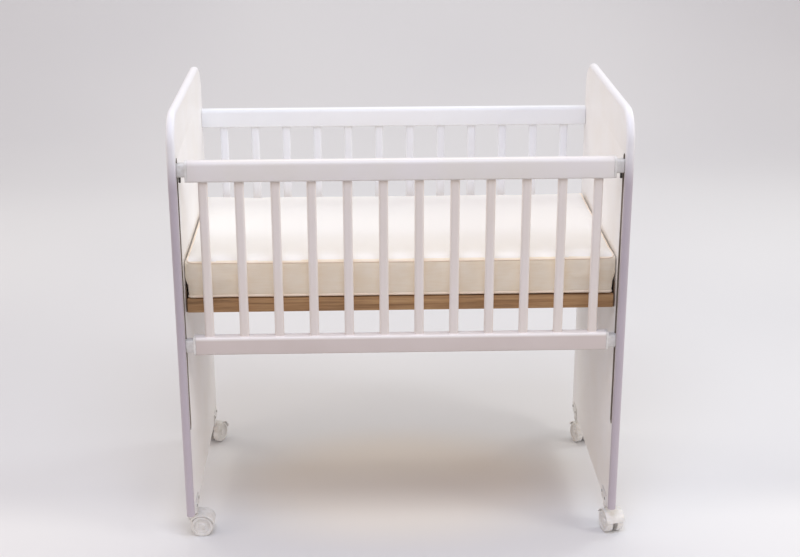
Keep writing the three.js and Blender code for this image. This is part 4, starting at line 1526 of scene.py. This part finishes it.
@dataclass
class Metalwork:
    """Base angles, caster plates, their screws, and the bolts of the fixed back."""

    leg: float = 2 * MM
    seat: float = 0.3 * MM  # between a pressing and the board
    angle_ease: float = 0.5 * MM
    plate_ease: float = 0.4 * MM
    bolt_ease: float = 0.3 * MM
    screw_drop: float = 10 * MM  # from the upper edge of a pressing
    screw_head: float = 3.2 * MM
    screw_height: float = 2.0 * MM
    screw_facets: int = 20
    screw_flat: float = 0.78  # share of the head's radius
    dome: tuple[tuple[float, float], ...] = (  # shares of the head's radius and height
        (0.9, 0.93), (0.98, 0.74), (1.0, 0.45), (1.0, 0.0))
    recess: float = 1.1 * MM
    recess_length: float = 0.62  # share of the head's radius
    recess_width: float = 0.15  # share of the head's radius
    recess_taper: float = 0.8  # size of the recess at its bottom, against its mouth
    angle_inset: float = 18 * MM
    angle_screws: int = 3
    plate_spacing: float = 38 * MM

    def pressing(self, node: str, finish: Finish, ease: float) -> None:
        """Builds an L section along Y in place of an angle or plate node.

        Args:
            node: the CAD node.
            finish: its finish.
            ease: rounding of its edges.
        """
        mount(softened(node, f"{node}_pressing", finish, ease), "crib", [node])

    def screws(self, name: str, spots: list[Sequence[float]], turn: Sequence[float],
               finish: Finish) -> None:
        """Drives a pattern of screws.

        Args:
            name: the piece's name.
            spots: where each head is seated.
            turn: how the heads face.
            finish: their finish.
        """
        pattern = self.screw()
        heads = scatter_recipe().run(name, spots, {"Part": pattern, "Turn": turn}, finish)
        mount(heads, "crib")
        bpy.data.objects.remove(pattern)

    def screw(self) -> bpy.types.Object:
        """Pan head with a cross recess, its seat at the origin and its top towards +Z.

        Returns:
            An object that only serves as a pattern.
        """
        bm = bmesh.new()
        head, height = self.screw_head, self.screw_height

        def circle(share: float, at: float) -> Ring:
            """Ring at a share of the head's radius, at a height."""
            return to_ring(arc(0, 0, share * head, 0, 360, self.screw_facets)[:-1], Axis.Z, at)

        wide, slim = self.recess_length * head, self.recess_width * head
        cross: Outline = []
        for quarter in range(4):
            turn = Matrix.Rotation(quarter * math.pi / 2, 2)
            cross += [tuple(turn @ Vector(c)) for c in ((wide, slim), (slim, slim), (slim, wide))]
        mouth = to_ring(cross, Axis.Z, height)
        bottom = to_ring([(x * self.recess_taper, y * self.recess_taper) for x, y in cross],
                         Axis.Z, height - self.recess)
        top = circle(self.screw_flat, height)
        pierced_face(bm, top, [mouth])
        loft(bm, [mouth, bottom], Ends.OPEN)
        cap(bm, bottom)
        loft(bm, [top, *[circle(share, level * height) for share, level in self.dome]], Ends.OPEN)
        cap(bm, circle(1, 0))
        return finish_mesh("screw_pattern", bm, [BLACK_STEEL])

    def build(self) -> None:
        """Builds the metalwork of both ends."""
        for end in End:
            sign = end.value
            angle = f"base_angle_{end.word}"
            self.pressing(angle, ANGLE_STEEL_PAINTED_LIGHT, self.angle_ease)
            low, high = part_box(angle)
            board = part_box(f"end_panel_{end.word}")
            inner = board[0].x if sign > 0 else board[1].x
            face = inner - sign * (self.leg + self.seat)
            half = (high.y - low.y) / 2 - self.angle_inset
            middle = (high.y + low.y) / 2
            steps = self.angle_screws - 1
            turn = (0, -sign * math.pi / 2, 0)
            self.screws(f"base_screws_{end.word}", [
                (face, middle + half * (2 * i / steps - 1), high.z - self.screw_drop)
                for i in range(self.angle_screws)], turn, BLACK_STEEL)
            spots = []
            for row in ("front", "back"):
                node = f"caster_plate_{row}_{end.word}"
                self.pressing(node, BRIGHT_ZINC, self.plate_ease)
                plate_low, plate_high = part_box(node)
                y = (plate_low.y + plate_high.y) / 2
                spots += [(face, y + side * self.plate_spacing / 2, plate_high.z - self.screw_drop)
                          for side in (-1, 1)]
            self.screws(f"caster_screws_{end.word}", spots, turn, ZINC_STEEL)
            for level in ("bottom", "top"):
                node = f"back_bolt_{level}_{end.word}"
                mount(softened(node, f"{node}_turned", ZINC_STEEL, self.bolt_ease, 1), "crib",
                      [node])


# --------------------------------------------------------------------------------------------
# Casters
# --------------------------------------------------------------------------------------------


@dataclass
class Caster:
    """Twin-wheel caster: a hooded nylon body on a steel stem, and two dished wheels."""

    corner: Corner
    trail: float = 20 * MM
    wheel: float = 25 * MM
    wheel_width: float = 15 * MM
    web_half: float = 4.5 * MM
    wheel_gap: float = 1 * MM
    hood_gap: float = 1.5 * MM
    hood_wall: float = 2.5 * MM
    hood_ease: float = 0.9 * MM
    hood_from: float = 12.0  # degrees up from the front, round the axle
    hood_to: float = 152.0
    neck: float = 11 * MM
    neck_top: float = 65.4 * MM
    bearing_groove: float = 1.2 * MM
    stem: float = 4 * MM
    stem_top: float = 102 * MM
    axle: float = 3 * MM
    axle_gap: float = 0.3 * MM
    tread_ease: float = 1.2 * MM
    shoulder: float = 2.5 * MM
    dish: float = 3 * MM
    ridge: float = 0.6 * MM

    def place(self) -> Matrix:
        """Where the stem stands and how the caster is swivelled.

        Returns:
            The matrix from the caster's own frame to the row frame.
        """
        low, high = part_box(f"caster_plate_{self.corner.word}")
        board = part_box(f"end_panel_{self.corner.end.word}")
        x, y = (board[0].x + board[1].x) / 2, (low.y + high.y) / 2
        turn = math.radians(self.corner.swivel)
        return Matrix.Translation((x, y, 0)) @ Matrix.Rotation(turn, 4, "Z")

    def around(self, radius: float, start: float, end: float, steps: int) -> Outline:
        """Arc round the axle, seen from the side."""
        return arc(self.trail, self.wheel, radius, start, end, steps)

    def hood(self, bm: bmesh.types.BMesh) -> None:
        """Adds the hood: an arch with rounded lips.

        Args:
            bm: mesh to add to.
        """
        half = self.web_half + self.wheel_gap + self.wheel_width + self.hood_gap
        inner = self.wheel + self.hood_gap
        outer = inner + self.hood_wall

        def section(inset: float, y: float) -> Ring:
            """Side view of the arch.

            Args:
                inset: how far it is drawn in.
                y: where it stands.

            Returns:
                The ring.
            """
            turn = math.degrees(inset / outer)
            outline = self.around(outer - inset, self.hood_from + turn, self.hood_to - turn, 24)
            outline += self.around(inner + inset, self.hood_to - turn, self.hood_from + turn, 24)
            return to_ring(outline, Axis.Y, y)

        ease = self.hood_ease
        rings = [section(inset, y) for inset, y in
                 ((ease, -half), (0.3 * ease, -half + 0.3 * ease), (0, -half + ease),
                  (0, half - ease), (0.3 * ease, half - 0.3 * ease), (ease, half))]
        loft(bm, rings)

    def web(self, bm: bmesh.types.BMesh) -> None:
        """Adds the web between the wheels, with a boss round the axle.

        Args:
            bm: mesh to add to.
        """
        boss = 3 * self.axle
        inner = self.wheel + self.hood_gap
        top = 2 * self.wheel + self.hood_gap + 2 * MM
        outline = [(-self.neck, top), (-self.neck, self.wheel + boss)]
        outline += self.around(boss, -135, 0, 10)
        outline += self.around(inner + 0.5 * MM, self.hood_from, 90, 10)
        outline.append((0, top))
        bore = self.around(self.axle + self.axle_gap, 0, 360, 20)[:-1]
        half = self.web_half
        faces = [to_ring(outline, Axis.Y, -half), to_ring(outline, Axis.Y, half)]
        for face, y in zip(faces, (-half, half)):
            pierced_face(bm, face, [to_ring(bore, Axis.Y, y)])
        loft(bm, faces, Ends.OPEN)
        loft(bm, [to_ring(bore, Axis.Y, -half), to_ring(bore, Axis.Y, half)], Ends.OPEN)

    def body_piece(self) -> None:
        """Builds what swivels: hood, web, neck and stem."""
        bm = bmesh.new()
        self.hood(bm)
        self.web(bm)
        low = 2 * self.wheel + self.hood_gap
        top = self.neck_top
        grooved = self.neck - self.bearing_groove
        profile = [(0, low), (self.neck - MM, low), (self.neck, low + MM),
                   (self.neck, top - 6 * MM), (grooved, top - 5.2 * MM),
                   (grooved, top - 4.2 * MM), (self.neck, top - 3.4 * MM),
                   (self.neck, top - MM), (self.neck - MM, top), (0, top)]
        lathe(bm, profile, steps=32)
        stem = [(0, top - MM), (self.stem, top - MM), (self.stem, self.stem_top - MM),
                (self.stem - MM, self.stem_top), (0, self.stem_top)]
        lathe(bm, stem, steps=20, slot=1)
        bmesh.ops.transform(bm, matrix=self.place(), verts=bm.verts)
        node = f"caster_body_{self.corner.word}"
        piece = finish_mesh(f"{node}_moulding", bm, [MILKY_NYLON, ZINC_STEEL])
        mount(piece, f"caster_{self.corner.word}", [node])

    def wheel_piece(self) -> None:
        """Builds what rolls: two wheels with a raised tread and hub, and their axle."""
        start = self.web_half + self.wheel_gap
        end = start + self.wheel_width
        radius, dish = self.wheel, end - self.dish
        ease, shoulder, ridge = self.tread_ease, self.shoulder, self.ridge
        tread = [(self.axle, start), (radius - ease, start), (radius, start + ease),
                 (radius, end - shoulder), (radius - 0.7 * MM, end - 0.8 * MM),
                 (radius - shoulder, end)]
        face = [(0.8 * radius, end), (0.76 * radius, end - ridge), (0.72 * radius, dish),
                (0.62 * radius, dish), (0.6 * radius, dish + ridge),
                (0.57 * radius, dish + ridge), (0.55 * radius, dish)]
        hub = [(0.33 * radius, dish), (0.3 * radius, dish + 0.5 * MM),
               (0.28 * radius, end - 1.2 * MM), (0.24 * radius, end - MM), (0, end - 0.8 * MM)]
        half = tread + face + hub
        profile = [(r, -y) for r, y in reversed(half)] + half
        bm = bmesh.new()
        lathe(bm, profile, steps=48, axis=Axis.Y)
        matrix = self.place() @ Matrix.Translation((self.trail, 0, self.wheel))
        bmesh.ops.transform(bm, matrix=matrix, verts=bm.verts)
        node = f"caster_wheels_{self.corner.word}"
        piece = finish_mesh(f"{node}_pair", bm, [MILKY_NYLON])
        mount(piece, f"wheels_{self.corner.word}", [node])

    def build(self) -> None:
        """Builds the caster."""
        self.body_piece()
        self.wheel_piece()


# --------------------------------------------------------------------------------------------
# Studio
# --------------------------------------------------------------------------------------------


@dataclass(frozen=True)
class Lamp:
    """A square soft lamp: where it hangs and points, its side in metres and its watts."""

    name: str
    place: tuple[float, float, float]
    size: float
    power: float
    colour: str
    target: tuple[float, float, float] = (0, 0, 0.5)

    def hang(self) -> None:
        """Hangs the lamp."""
        light = bpy.data.lights.new(self.name, "AREA")
        light.size = self.size
        light.energy = self.power
        light.color = linear(self.colour)[:3]
        obj = bpy.data.objects.new(self.name, light)
        bpy.context.scene.collection.objects.link(obj)
        aim = (Vector(self.target) - Vector(self.place)).to_track_quat("-Z", "Y")
        obj.matrix_world = Matrix.Translation(self.place) @ aim.to_matrix().to_4x4()


LAMPS = (
    Lamp("softbox_front", (0, -1.5, 3.0), 1.2, 27, "#CDDFFF"),
    Lamp("softbox_rear", (0, 1.9, 3.3), 1.6, 12.5, "#FFFDED"),
    Lamp("rear_left", (-2.8, 1.4, 2.4), 1.2, 14.5, "#FFFFF3"),
    Lamp("rear_right", (2.8, 1.4, 2.4), 1.2, 22, "#F4FEFF"),
    Lamp("fill_left", (-3.6, -1.8, 2.4), 1.2, 13.5, "#FFECD8"),
    Lamp("fill_right", (3.6, -1.8, 2.4), 1.2, 35, "#FEFDF6"),
    Lamp("backdrop_wash", (0, 2.2, 4.0), 2.4, 32, "#EEF8FF", (0, 5.2, 0.6)),
)


@dataclass
class Studio:
    """Pale paper sweep, soft lamps and the camera. A ray that shows the room sees a neutral
    world, and the crib gets a slightly warmer light from it."""

    wall_y: float = 5.2
    sweep: float = 2.4
    half_width: float = 16.0
    front_y: float = -16.0
    wall_top: float = 5.0
    world_strength: float = 0.69
    world_light: str = "#FFF4F1"
    world_seen: str = "#FBFAFC"
    lens: float = 64.94175  # mm, as Blender keeps a lens and a sensor
    sensor: float = 36.0
    shift: float = -0.013625  # share of the sensor's width
    far: float = 50.0
    eye: tuple[float, float, float] = (-0.0921, -3.1535, 1.6666)
    pitch: float = 19.42
    yaw: float = 1.76
    roll: float = -0.12

    def backdrop(self) -> None:
        """Makes the floor that curves up into the wall."""
        profile = [(self.front_y, 0.0)]
        profile += arc(self.wall_y - self.sweep, self.sweep, self.sweep, -90, 0, steps=24)
        profile.append((self.wall_y, self.wall_top))
        bm = bmesh.new()
        lines = [[bm.verts.new((x, y, z)) for y, z in profile]
                 for x in (-self.half_width, self.half_width)]
        for i in range(len(profile) - 1):
            bm.faces.new((lines[0][i], lines[0][i + 1], lines[1][i + 1], lines[1][i]))
        for face in bm.faces:
            face.normal_update()
            if face.normal.z < 0 or face.normal.y > 0.5:
                face.normal_flip()
        mesh = bpy.data.meshes.new("studio_sweep")
        bm.to_mesh(mesh)
        bm.free()
        dress("studio_sweep", mesh, [STUDIO_PAPER], ALL_SMOOTH)

    def lights(self) -> None:
        """Hangs the lamps and sets the world."""
        for lamp in LAMPS:
            lamp.hang()
        world = bpy.data.worlds.new("studio")
        bpy.context.scene.world = world
        world.use_nodes = True
        tree = world.node_tree
        background = tree.nodes["Background"]
        background.inputs["Strength"].default_value = self.world_strength
        colour = add_node(tree, "ShaderNodeMix", {
            "data_type": "RGBA", 6: linear(self.world_light), 7: linear(self.world_seen)},
            {0: seen_ray(tree)})
        tree.links.new(colour.outputs[2], background.inputs["Color"])

    def camera(self) -> None:
        """Sets up the camera."""
        pitch, yaw, roll = (math.radians(a) for a in (self.pitch, self.yaw, self.roll))
        ahead = Vector((math.sin(yaw) * math.cos(pitch), math.cos(yaw) * math.cos(pitch),
                        -math.sin(pitch)))
        level = Vector((math.cos(yaw), -math.sin(yaw), 0))
        rise = level.cross(ahead)
        right = level * math.cos(roll) + rise * math.sin(roll)
        up = rise * math.cos(roll) - level * math.sin(roll)
        data = bpy.data.cameras.new("camera")
        data.sensor_fit = "HORIZONTAL"
        data.sensor_width = self.sensor
        data.lens = self.lens
        data.shift_y = self.shift
        data.clip_end = self.far
        obj = bpy.data.objects.new("camera", data)
        bpy.context.scene.collection.objects.link(obj)
        turn = Matrix((right, up, -ahead)).transposed().to_4x4()
        obj.matrix_world = Matrix.Translation(self.eye) @ turn
        bpy.context.scene.camera = obj

    def build(self) -> None:
        """Builds the studio."""
        self.backdrop()
        self.lights()
        self.camera()
        bpy.context.scene.view_settings.view_transform = "Standard"


def main() -> None:
    """Builds the crib and its studio."""
    logging.basicConfig(level=logging.INFO, format="%(name)s: %(message)s")
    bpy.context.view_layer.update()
    Studio().build()
    for end in End:
        EndPanel(end).build()
    SlattedSide("gate", "gate", RAIL_LACQUER, GATE_SLAT_LACQUER).build()
    SlattedSide("back", "crib", BACK_RAIL_LACQUER, BACK_SLAT_LACQUER).build()
    GateFittings().build()
    SlattedBase().build()
    Mattress().build()
    Metalwork().build()
    for corner in Corner:
        Caster(corner).build()


if __name__ == "__main__":
    main()
